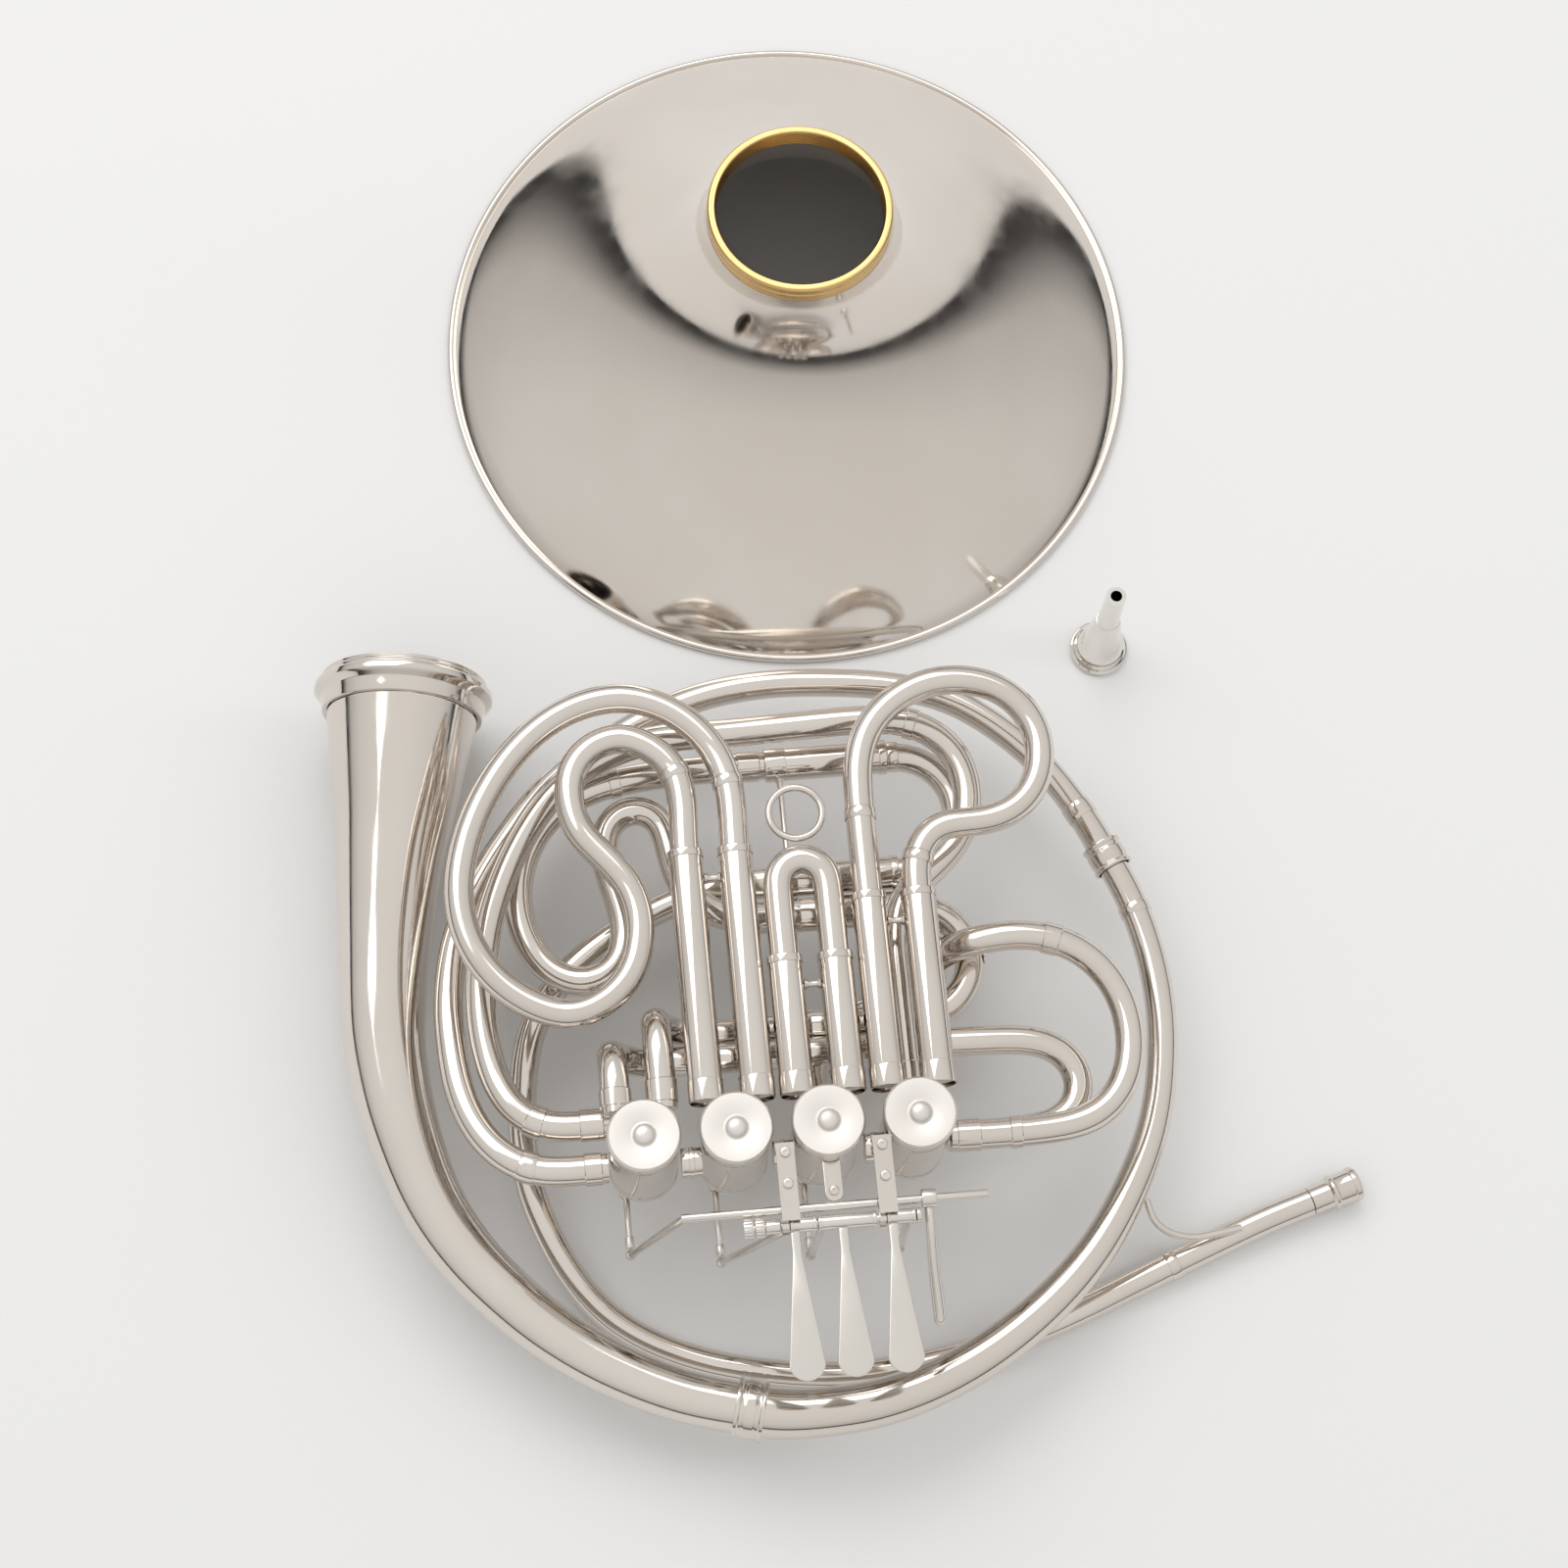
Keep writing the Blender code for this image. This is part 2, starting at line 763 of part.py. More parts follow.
def build_tail():
    stations = tail_stations()
    route = smooth_route(stations, 2)
    tail = tube_mesh("bell_tail", route, NICKEL, 4)
    bottom = TAIL_MOUTH_Y - TAIL_BORE_DEPTH
    bore = [(x, y, z, d - 2 * TAIL_WALL) for x, y, z, d in route if y > bottom]
    mouth = Vector(bore[0]) * 2 - Vector(bore[1])
    cutter = tube_mesh("tail_bore_cutter", [mouth] + bore, NICKEL, 4)
    combine(tail, [cutter], "DIFFERENCE")
    build_tail_ring(stations)


def build_tail_ring(stations):
    mouth = Vector(stations[0][:3])
    axis = (mouth - Vector(stations[1][:3])).normalized()
    outer = RING_OUTER / 2
    bore = TAIL_MOUTH / 2 - TAIL_WALL
    thread = BELL_RING_BORE / 2 - SEAT
    profile = [
        (thread, RING_LENGTH + 4),
        (thread, RING_LENGTH),
        (outer - 1, RING_LENGTH),
        (outer, RING_LENGTH - 1),
        (outer, RING_LENGTH * 0.62),
        (outer - 3, RING_LENGTH * 0.5),
        (outer - 4, 0),
        (bore, 0),
        (bore, RING_LENGTH + 4),
    ]
    level = Vector((axis.x, axis.y, 0)).normalized()
    place = mouth + level * 2 * SEAT
    turned("tail_ring", profile, NICKEL, 24, place, level, closed=True)


def ferrule(name, at, towards, tube_diameter, finish=NICKEL):
    """A sleeve round a butted joint."""
    at, towards = Vector(at), Vector(towards)
    along = (towards - at).normalized() * FERRULE_LENGTH / 2
    bore = tube_diameter + 4 * GAP
    return pipe(name, bore + 2 * FERRULE_WALL, bore, at - along, at + along, finish)


def build_branches():
    tube("bell_branch", smooth_route(branch_stations(), 2), NICKEL, 2)
    tube("return_branch", smooth_route(return_stations(), 1), NICKEL)
    tail_end = tail_stations()[-1]
    first = branch_stations()[1]
    ferrule("tail_ferrule", tail_end[:3], first[:3], tail_end[3] + 0.8)
    last = branch_stations()[-1]
    next_one = return_stations()[1]
    ferrule("branch_ferrule", last[:3], next_one[:3], last[3] + 0.6)


def build_leadpipe():
    stations = leadpipe_stations()
    tube("leadpipe", smooth_route(stations, 1), NICKEL)
    start = Vector(stations[0][:3])
    axis = (start - Vector(stations[1][:3])).normalized()
    axis.z = 0
    outer, bore = RECEIVER_OUTER / 2, RECEIVER_BORE / 2
    profile = [
        (0, RECEIVER_LENGTH - SOCKET_DEPTH),
        (bore * 0.75, RECEIVER_LENGTH - SOCKET_DEPTH),
        (bore, RECEIVER_LENGTH),
        (outer - 1, RECEIVER_LENGTH),
        (outer, RECEIVER_LENGTH - 1),
        (outer, RECEIVER_LENGTH - 12),
        (outer - 1.5, RECEIVER_LENGTH - 13),
        (outer - 1.5, 0),
        (0, 0),
    ]
    turned("receiver", profile, NICKEL, 16, start + axis * GAP, axis)


def build_leadpipe_stay():
    """The curved rod that ties the leadpipe to the branch."""
    points = [
        (151.5, -27.5, 24.0),
        (154.5, -36.5, 21.0),
        (161.5, -41.5, 18.0),
        (171.0, -43.5, 16.0),
        (181.0, -42.5, 15.4),
        (191.0, -40.9, 14.9),
    ]
    tube("leadpipe_stay", smooth_route([(*p, 3.2) for p in points], 2), NICKEL, 1)


def build_rear_tubes():
    tube("second_return", smooth_route(second_return_stations(), 1), NICKEL)
    tube("front_loop", smooth_route(front_loop_stations(), 1), NICKEL)
    tube("rear_loop", smooth_route(rear_loop_stations(), 1), NICKEL)
    tube("change_elbow", smooth_route(change_elbow_stations(), 2), NICKEL)
    tube("inner_loop", smooth_route(inner_loop_stations(), 1), NICKEL)


def build_rear_slides():
    start_x, end_x = REAR_SLEEVE_X
    for name, legs in (("main_tuning", TUNING_LEGS), ("b_flat_tuning", B_FLAT_LEGS)):
        pair = [((start_x, y, TUNING_Z), (end_x, y, TUNING_Z)) for y in legs]
        brace_x = start_x + 6.0
        low, high = legs[0] + SLEEVE_MIDWALL, legs[1] - SLEEVE_MIDWALL
        brace = ((brace_x, low, TUNING_Z), (brace_x, high, TUNING_Z))
        braced_sleeves(name, *pair, brace)
        foot = REAR_SLEEVE_X[0] + LEG_RELIEF
        slide = tube(f"{name}_slide", rear_slide_stations(legs, foot), NICKEL)
        set_origin(slide, (REAR_SLEEVE_X[1], (legs[0] + legs[1]) / 2, TUNING_Z))


def build_front_slides():
    routes = (first_slide_stations(), second_slide_stations(), third_slide_stations())
    names = ("first", "second", "third")
    for index, (name, route) in enumerate(zip(names, routes)):
        left, right = slide_legs(index)
        foot, top = sleeve_foot(), SLEEVE_TOPS[index]
        pair = [((x, foot, FRONT_Z), (x, top, FRONT_Z)) for x in (left, right)]
        brace_y = top - 12.0
        low, high = left + SLEEVE_MIDWALL, right - SLEEVE_MIDWALL
        brace = ((low, brace_y, FRONT_Z), (high, brace_y, FRONT_Z))
        braced_sleeves(name, *pair, brace)
        slide = tube(f"{name}_slide", smooth_route(route, 1), NICKEL)
        set_origin(slide, (valve_x(index + 1), SLEEVE_TOPS[index], FRONT_Z))
    build_pull_ring()


def build_pull_ring():
    bow = second_slide_stations()[6]
    crown = max(station[1] for station in second_slide_stations()) + TUBE / 2
    centre = (valve_x(2), crown + PULL_RING / 2 + GAP, bow[2])
    middle = (PULL_RING - PULL_RING_WIRE) / 2
    section = PULL_RING_WIRE / 2
    profile = []
    for step in range(8):
        angle = -math.tau * step / 8
        profile.append((middle + section * math.cos(angle), section * math.sin(angle)))
    turned("pull_ring", profile, NICKEL, 20, centre, closed=True)


def build_valves():
    for index, name in enumerate(VALVE_NAMES):
        x = valve_x(index)
        build_casing(name, x)
        build_cap(name, x)
        build_rotor(name, x)
        build_bearing_plate(name, x)


def build_casing(name, x):
    ends = ((x, 0, CASING_BOTTOM), (x, 0, CASING_TOP))
    casing = pipe(f"valve_casing_{name}", CASING_OUTER, CASING_BORE, *ends, NICKEL, 20)
    if name == "second":
        wall = (CASING_OUTER + CASING_BORE) / 4
        low = (x - REST_TAB_WIDTH / 2, -REST_TAB_REACH, REST_TAB_Z)
        high = (x + REST_TAB_WIDTH / 2, -wall + 0.2, REST_TAB_Z + 2.0)
        combine(casing, [block("lever_rest_tab", low, high, NICKEL)], "UNION")


def build_bearing_plate(name, x):
    """The lower bearing, with the two corks that stop the rotor's lug."""
    top = CASING_BOTTOM - GAP
    low = top - PLATE_THICKNESS
    hole = SPINDLE + 3 * GAP
    plate = pipe(f"bearing_plate_{name}", CASING_OUTER, hole, (x, 0, low), (x, 0, top), NICKEL, 20)
    corks = []
    for side in (-1, 1):
        angle = math.radians(CORK_ANGLE * side)
        spot = (x + CORK_RADIUS * math.cos(angle), CORK_RADIUS * math.sin(angle))
        ends = ((*spot, low - CORK_DROP), (*spot, low + 1.0))
        corks.append(rod_mesh(f"cork_{name}_{side}", *ends, CORK, CORK_BLACK, 8))
    combine(plate, corks, "UNION")


def build_cap(name, x):
    low = CASING_TOP + GAP
    high = low + CAP_THICKNESS
    outer, nipple = CAP_OUTER / 2, NIPPLE_OUTER / 2
    profile = [
        (0, high + NIPPLE_HEIGHT),
        (nipple * 0.6, high + NIPPLE_HEIGHT * 0.85),
        (nipple, high),
        (outer - 0.8, high),
        (outer, high - 0.8),
        (outer, low),
        (0, low),
    ]
    turned(f"valve_cap_{name}", profile, CAP_METAL, 20, (x, 0, 0))


def arm_top():
    """Height of the top of the stop arms, below the link rods' eyes."""
    return HINGE_Z - ARM_DROP - EYE_HEIGHT / 2 - GAP - 0.2


def build_rotor(name, x):
    """A rotor with its scooped passages, its spindle and the stop arm screwed under it."""
    low = CASING_BOTTOM + 2.0
    high = CASING_TOP - 2.0
    core, pivot, hub = ROTOR_OUTER / 2, SPINDLE / 2, ARM_HUB / 2
    top = arm_top()
    bottom = top - STOP_ARM_THICKNESS
    profile = [
        (0, CASING_TOP - GAP),
        (pivot, CASING_TOP - GAP),
        (pivot, high),
        (core, high),
        (core, low),
        (pivot, low),
        (pivot, top),
        (hub, top),
        (hub, bottom),
        (0, bottom),
    ]
    rotor = flatten(turned(f"rotor_{name}", profile, BRASS, 16), BRASS)
    scoops = []
    for level in (REAR_Z + 4, FRONT_Z - 3):
        for side in (-1, 1):
            reach = side * (core - 2.2)
            ends = ((reach, -core - 2, level), (reach, core + 2, level))
            scoops.append(rod_mesh(f"scoop_{name}_{level}_{side}", *ends, TUBE - 2, BRASS, 8))
    combine(rotor, scoops, "DIFFERENCE")
    arm = arm_pieces(name, bottom, top)
    combine(rotor, arm, "UNION")
    for piece in scoops + arm:
        piece.location.x = x * MM
    rotor.location.x = x * MM


def arm_pieces(name, low, top):
    """The arm to the link's eye and the short lug that meets the corks, opposite each other."""
    reach = math.hypot(PIN_OFFSET, PIN_OFFSET)
    bar = block(f"arm_bar_{name}", (1.0, -1.7, low + 0.2), (reach, 1.7, top - 0.2), STEEL)
    eye = rod_mesh(f"arm_eye_{name}", (reach, 0, low + 0.1), (reach, 0, top - 0.1), EYE, STEEL, 10)
    lug = block(f"arm_lug_{name}", (-9.0, -1.9, low + 0.3), (-1.0, 1.9, top - 0.3), STEEL)
    for piece in (bar, eye, lug):
        piece.rotation_euler.z = math.radians(225)
    return [bar, eye, lug]


def build_knuckles():
    """The short tubes between neighbouring casings, on the player's side."""
    offset = -9.5
    half = VALVE_PITCH / 2 - casing_reach(abs(offset) - TUBE / 2)
    for index in range(3):
        centre = (valve_x(index) + valve_x(index + 1)) / 2
        start, end = (centre - half, offset, FRONT_Z), (centre + half, offset, FRONT_Z)
        rod_mesh(f"knuckle_tube_{index + 1}", start, end, TUBE, NICKEL)


def build_stays():
    """Short braces between the sleeves of neighbouring slides."""
    rail = SLEEVE / 2 + GAP
    for index in range(2):
        left = slide_legs(index)[1] + rail
        right = slide_legs(index + 1)[0] - rail
        ends = ((left, STAY_Y, FRONT_Z), (right, STAY_Y, FRONT_Z))
        rod_mesh(f"sleeve_stay_{index + 1}", *ends, STAY, NICKEL, 8)


def build_hinge_rod():
    rod, collar = HINGE_ROD / 2, 4.2
    start, end = -19.0, 50.8
    profile = [
        (0, end),
        (3.1, end),
        (3.1, end - 1.8),
        (rod, end - 1.8),
        (rod, -4.6),
        (2.9, -4.6),
        (2.9, -10.4),
        (rod, -10.4),
        (rod, -11.0),
        (collar, -11.0),
        (collar, -14.4),
        (rod, -14.4),
        (rod, -15.4),
        (collar, -15.4),
        (collar, start),
        (0, start),
    ]
    turned("hinge_rod", profile, STEEL, 14, (0, HINGE_Y, HINGE_Z), (1, 0, 0))


def bar_along_x(name, y, start, end, diameter, finish):
    """A round bar at the hinge's height."""
    return rod_mesh(name, (start, y, HINGE_Z), (end, y, HINGE_Z), diameter, finish)


def build_brackets():
    """Straps from the knuckle tubes to the hinge, each with a bearing for the thumb shaft."""
    foot_z = FRONT_Z + TUBE / 2 + GAP
    strap_top = STRAP_Z + STRAP_THICKNESS
    for index, x in enumerate(STRAP_X):
        left, right = x - STRAP_WIDTH / 2, x + STRAP_WIDTH / 2
        hub_left = left + 0.1
        hub_right = LEVER_HUBS[0 if index == 0 else 2][0] - GAP
        post_low, post_high = (left, POST_Y[0], foot_z), (right, POST_Y[1], strap_top)
        bracket = block(f"lever_bracket_{index + 1}", post_low, post_high, NICKEL)
        strap_low = (left + 0.2, HINGE_Y + 1.0, STRAP_Z)
        strap_high = (right - 0.2, POST_Y[1] - 0.5, strap_top - 0.2)
        strap = block(f"strap_{index}", strap_low, strap_high, NICKEL)
        web_low = (hub_left + 0.1, HINGE_Y + 1.3, HINGE_Z)
        web_high = (hub_right - 0.1, HINGE_Y + 3.2, STRAP_Z + 0.7)
        web = block(f"web_{index}", web_low, web_high, NICKEL)
        lug_low = (hub_left + 0.5, SHAFT_Y - 1.2, HINGE_Z)
        lug_high = (right - 0.5, SHAFT_Y + 1.2, STRAP_Z + 0.6)
        lug = block(f"lug_{index}", lug_low, lug_high, NICKEL)
        hub = bar_along_x(f"hub_{index}", HINGE_Y, hub_left, hub_right, BRACKET_HUB, NICKEL)
        bearing = bar_along_x(f"bearing_{index}", SHAFT_Y, hub_left + 0.3, right, BEARING, NICKEL)
        combine(bracket, [strap, hub, web, bearing, lug], "UNION")
        start, end = left - STRAP_WIDTH, right + STRAP_WIDTH
        hole = bar_along_x(f"hole_{index}", HINGE_Y, start, end, HINGE_ROD + 3 * GAP, NICKEL)
        shaft_hole = bar_along_x(f"shaft_hole_{index}", SHAFT_Y, start, end, SHAFT + 3 * GAP, NICKEL)
        combine(bracket, [hole, shaft_hole], "DIFFERENCE")


def paddle(name, x):
    """A teardrop touch piece, as a flat outline with rounded end."""
    neck, wide = PADDLE_NECK / 2, PADDLE_WIDTH / 2
    end_y = HINGE_Y - PADDLE_LENGTH + wide
    outline = [(x - neck, HINGE_Y), (x - neck, HINGE_Y - 12)]
    for step in range(9):
        angle = math.radians(190 + 160 * step / 8)
        outline.append((x + wide * math.cos(angle), end_y + wide * math.sin(angle)))
    outline += [(x + neck, HINGE_Y - 12), (x + neck, HINGE_Y)]
    bm = bmesh.new()
    low = HINGE_Z - PADDLE_THICKNESS / 2
    face = bm.faces.new([bm.verts.new(metres((px, py, low))) for px, py in outline])
    moved = bmesh.ops.extrude_face_region(bm, geom=[face])["geom"]
    corners = [v for v in moved if isinstance(v, bmesh.types.BMVert)]
    bmesh.ops.translate(bm, verts=corners, vec=(0, 0, PADDLE_THICKNESS * MM))
    return mesh_object(name, bm, STEEL)


def ball_mesh(name, place, diameter, finish):
    bm = bmesh.new()
    bmesh.ops.create_icosphere(
        bm, subdivisions=1, radius=diameter / 2 * MM, matrix=Matrix.Translation(metres(place))
    )
    return mesh_object(name, bm, finish)


def link_x(index):
    """X of the link rod of a valve."""
    return valve_x(index) - PIN_OFFSET


def build_finger_levers():
    for index in range(3):
        start, end = LEVER_HUBS[index]
        hub = rod_mesh(
            f"finger_lever_{index + 1}", (start, HINGE_Y, HINGE_Z), (end, HINGE_Y, HINGE_Z), HUB_OUTER, STEEL
        )
        touch = paddle(f"paddle_{index}", LEVER_NECKS[index])
        foot = (link_x(index + 1), HINGE_Y, HINGE_Z - ARM_DROP)
        root_x = min(max(foot[0], start + 2.5), end - 2.5)
        arm = rod_mesh(f"crank_{index}", (root_x, HINGE_Y, HINGE_Z - 1.5), foot, ARM_WIDTH, STEEL, 8)
        ball = ball_mesh(f"crank_ball_{index}", foot, BALL, STEEL)
        bore_start, bore_end = (start - 5, HINGE_Y, HINGE_Z), (end + 5, HINGE_Y, HINGE_Z)
        bore = rod_mesh(f"hub_bore_{index}", bore_start, bore_end, HUB_BORE, STEEL)
        combine(hub, [touch, arm, ball], "UNION")
        combine(hub, [bore], "DIFFERENCE")
        lever = flatten(hub, STEEL)
        set_origin(lever, (start, HINGE_Y, HINGE_Z))


def build_thumb_lever():
    start = (SHAFT_ENDS[0], SHAFT_Y, HINGE_Z)
    end = (SHAFT_ENDS[1], SHAFT_Y, HINGE_Z)
    shaft = rod_mesh("thumb_lever", start, end, SHAFT, STEEL)
    hub = rod_mesh(
        "thumb_hub", (THUMB_X - 3, SHAFT_Y, HINGE_Z), (THUMB_X + 3, SHAFT_Y, HINGE_Z), 7.6, STEEL
    )
    foot = (link_x(0), SHAFT_Y, HINGE_Z - ARM_DROP)
    root = (SHAFT_ENDS[0] + 1.5, SHAFT_Y, HINGE_Z)
    crank = rod_mesh("thumb_crank", root, foot, ARM_WIDTH, STEEL, 8)
    ball = ball_mesh("thumb_ball", foot, BALL, STEEL)
    route = [
        (THUMB_X, SHAFT_Y, HINGE_Z - 2.0, 4.0),
        (THUMB_X, -45.0, 89.0, 4.0),
        (THUMB_X + 0.2, -58.0, 82.0, 4.4),
        (THUMB_X + 1.0, -70.0, 75.0, 5.0),
        (THUMB_X + 1.6, -78.0, 70.5, 5.0),
    ]
    touch = tube_mesh("thumb_touch", smooth_route(route, 2), STEEL, 2)
    combine(shaft, [hub, crank, ball, touch], "UNION")
    lever = flatten(shaft, STEEL)
    set_origin(lever, (THUMB_X, SHAFT_Y, HINGE_Z))


def build_links():
    """Rods from the crank balls to the stop arms. The eye rides above the arm with a gap."""
    z = HINGE_Z - ARM_DROP
    for index, name in enumerate(VALVE_NAMES):
        x = link_x(index)
        ball_y = SHAFT_Y if index == 0 else HINGE_Y
        start = (x, ball_y + BALL / 2 + GAP, z)
        end = (x, -PIN_OFFSET, z)
        rod = rod_mesh(f"link_rod_{name}", start, end, LINK, STEEL, 8)
        eye_low, eye_high = (x, -PIN_OFFSET, z - EYE_HEIGHT / 2), (x, -PIN_OFFSET, z + EYE_HEIGHT / 2)
        eye = rod_mesh(f"link_eye_{name}", eye_low, eye_high, EYE, STEEL, 10)
        combine(rod, [eye], "UNION")
        link = flatten(rod, STEEL)
        set_origin(link, (x, ball_y, z))


def build_mouthpiece():
    rim, cup = MOUTHPIECE_RIM / 2, CUP_BORE / 2
    shank, bore = SHANK_OUTER / 2, SHANK_BORE / 2
    top = MOUTHPIECE_HEIGHT
    profile = [
        (shank, top),
        (shank + 0.6, top - 24),
        (shank + 1.2, top - 27),
        (shank + 2.6, top - 36),
        (rim - 4.2, 8.0),
        (rim - 1.4, 3.4),
        (rim, 2.0),
        (rim - 0.6, 0.4),
        (rim - 2.0, 0),
        (cup, 0.9),
        (cup - 0.9, 4.0),
        (cup - 3.0, 14.0),
        (2.3, 27.0),
        (bore, top),
    ]
    turned("mouthpiece", profile, SILVER, 20, (*MOUTHPIECE_PLACE, 0), closed=True)


def move_origin():
    """Moves the assembly so that its origin is under the middle of its box."""
    bpy.context.view_layer.update()
    graph = bpy.context.evaluated_depsgraph_get()
    points = []
    for obj in HORN.objects:
        evaluated = obj.evaluated_get(graph)
        mesh = evaluated.to_mesh()
        points += [evaluated.matrix_world @ vertex.co for vertex in mesh.vertices]
        evaluated.to_mesh_clear()
    middle = [(min(p[i] for p in points) + max(p[i] for p in points)) / 2 for i in range(2)]
    floor = min(p[2] for p in points)
    shift = Vector((-middle[0], -middle[1], -floor))
    for obj in list(HORN.objects) + list(CUTTERS.objects):
        obj.location += shift
    print("shift", [round(value, 6) for value in shift])


clear_scene()
HORN = new_collection("double_french_horn")
CUTTERS = new_collection("cutters")
CUTTERS.hide_render = True

build_bell()
build_tail()
build_branches()
build_leadpipe()
build_leadpipe_stay()
build_rear_tubes()
build_rear_slides()
build_front_slides()
build_valves()
build_knuckles()
build_stays()
build_hinge_rod()
build_brackets()
build_finger_levers()
build_thumb_lever()
build_links()
build_mouthpiece()
move_origin()
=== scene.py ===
"""Looks of the double french horn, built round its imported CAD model.

Lengths are in millimetres in the part's own building frame: X runs along the valve line, Y along
the front slides and Z up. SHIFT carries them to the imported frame.
"""

import json
import math

import bpy
from mathutils import Matrix, Vector


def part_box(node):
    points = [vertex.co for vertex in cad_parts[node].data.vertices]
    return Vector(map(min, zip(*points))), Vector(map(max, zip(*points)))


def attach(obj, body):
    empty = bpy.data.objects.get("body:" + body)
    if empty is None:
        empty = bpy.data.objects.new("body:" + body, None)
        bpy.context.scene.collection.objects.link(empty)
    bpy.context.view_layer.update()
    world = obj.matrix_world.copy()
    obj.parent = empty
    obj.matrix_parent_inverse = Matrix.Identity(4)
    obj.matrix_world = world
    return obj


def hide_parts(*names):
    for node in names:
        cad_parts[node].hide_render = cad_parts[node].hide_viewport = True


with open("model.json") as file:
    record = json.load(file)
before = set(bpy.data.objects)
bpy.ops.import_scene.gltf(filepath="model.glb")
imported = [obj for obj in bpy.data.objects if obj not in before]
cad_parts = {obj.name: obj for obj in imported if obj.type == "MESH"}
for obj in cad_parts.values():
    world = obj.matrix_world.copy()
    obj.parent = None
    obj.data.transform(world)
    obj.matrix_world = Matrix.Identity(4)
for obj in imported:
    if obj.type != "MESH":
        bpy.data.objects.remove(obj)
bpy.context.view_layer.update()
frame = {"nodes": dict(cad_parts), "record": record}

MM = 0.001
GAP = 0.3
SEAT = 0.35

# Bell, tail and their screw rings
BELL_DIAMETER = 310.0
BELL_HEIGHT = 131.0
BELL_WALL = 1.2
BELL_CENTRE = (42.0, 384.7)
BELL_RING_BORE = 71.2
BELL_RING_OUTER = 79.0
BELL_RING_HEIGHT = 9.0
RIM_BEAD = 2.2
RING_OUTER = 76.0
RING_LENGTH = 12.0
TAIL_MOUTH = 64.0
TAIL_WALL = 1.2
TAIL_BORE_DEPTH = 60.0
THREAD_PITCH = 1.4
THREAD_DEPTH = 0.45

# Tubes and slides
TUBE = 12.2
LEADPIPE = 12.0
SLEEVE = 14.2
SLIDE_BORE = 13.3
STAY = 2.6
STAY_Y = 43.0
FERRULE_LENGTH = 12.0
FERRULE_WALL = 1.2
LEG_SPREAD = 10.2
SLEEVE_TOPS = (120.0, 72.0, 96.0)
PULL_RING = 25.0
PULL_RING_WIRE = 3.0
TUNING_LEGS = (117.0, 169.0)
B_FLAT_LEGS = (53.0, 101.5)
REAR_SLEEVE_X = (10.0, 62.0)

# Receiver and mouthpiece
RECEIVER_OUTER = 15.0
RECEIVER_LENGTH = 22.0
RECEIVER_BORE = 9.6
SOCKET_DEPTH = 12.0
MOUTHPIECE_HEIGHT = 62.0
MOUTHPIECE_RIM = 25.5
CUP_BORE = 17.6
SHANK_OUTER = 8.6
SHANK_BORE = 5.0
MOUTHPIECE_PLACE = (166.0, 226.2)

# Valves
VALVE_NAMES = ("change", "first", "second", "third")
VALVE_PITCH = 36.5
CASING_OUTER = 28.4
CASING_BORE = 25.8
CASING_BOTTOM = 38.0
CASING_TOP = 90.0
CAP_OUTER = 29.6
CAP_THICKNESS = 4.4
NIPPLE_OUTER = 9.4
NIPPLE_HEIGHT = 3.0
PLATE_THICKNESS = 2.2
SPINDLE_HOLE = 6.9
CORK = 4.4
CORK_RADIUS = 9.5
CORK_ANGLE = 80.0
CORK_DROP = 8.0
REST_TAB_WIDTH = 7.2
REST_TAB_REACH = 31.0
REST_TAB_Z = 84.0
FRONT_Z = 80.0
MIDDLE_Z = 62.0
REAR_Z = 48.0
TUNING_Z = 40.0

# Levers
HINGE_Y = -40.5
HINGE_Z = 92.0
ARM_DROP = 61.0
ARM_WIDTH = 3.2
BALL = 4.4
LINK = 2.6
EYE = 5.2
EYE_HEIGHT = 2.4
PIN_OFFSET = 8.0
HUB_OUTER = 5.8
PADDLE_LENGTH = 61.0
PADDLE_WIDTH = 14.4
PADDLE_NECK = 3.6
PADDLE_THICKNESS = 2.0
LEVER_NECKS = (0.9, 19.8, 39.4)
LEVER_HUBS = ((-0.9, 9.6), (10.2, 33.2), (37.2, 48.6))
SHAFT_Y = -34.2
SHAFT = 3.5
SHAFT_ENDS = (-43.0, 78.0)
THUMB_X = 54.5

SPACING = 2.4
SIDES = 28


def valve_x(index):
    return (index - 1.5) * VALVE_PITCH


def casing_reach(offset=0.0):
    return math.sqrt((CASING_OUTER / 2 + GAP) ** 2 - offset**2)


def packed_shift():
    """Where the building frame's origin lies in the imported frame."""
    low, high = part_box("valve_cap_second")
    return Vector(((low.x + high.x) / 2 - valve_x(2) * MM, (low.y + high.y) / 2, 0))


SHIFT = packed_shift()
BODY_OF = {
    node: body
    for body, nodes in frame["record"]["behaviour"]["bodies"].items()
    for node in nodes
}


# Materials


def ramp(nodes, links, source, low, high):
    """A value from 0 to 1 turned into low to high."""
    node = nodes.new("ShaderNodeMapRange")
    node.interpolation_type = "SMOOTHSTEP"
    node.inputs["From Min"].default_value = 0.3
    node.inputs["From Max"].default_value = 0.7
    node.inputs["To Min"].default_value = low
    node.inputs["To Max"].default_value = high
    links.new(source, node.inputs["Value"])
    return node.outputs["Result"]


def noise(nodes, links, vector, scale, detail=3.0, stretch=None):
    texture = nodes.new("ShaderNodeTexNoise")
    texture.inputs["Scale"].default_value = scale
    texture.inputs["Detail"].default_value = detail
    if stretch:
        mapping = nodes.new("ShaderNodeMapping")
        mapping.inputs["Scale"].default_value = stretch
        links.new(vector, mapping.inputs["Vector"])
        vector = mapping.outputs["Vector"]
    links.new(vector, texture.inputs["Vector"])
    return texture.outputs["Fac"]


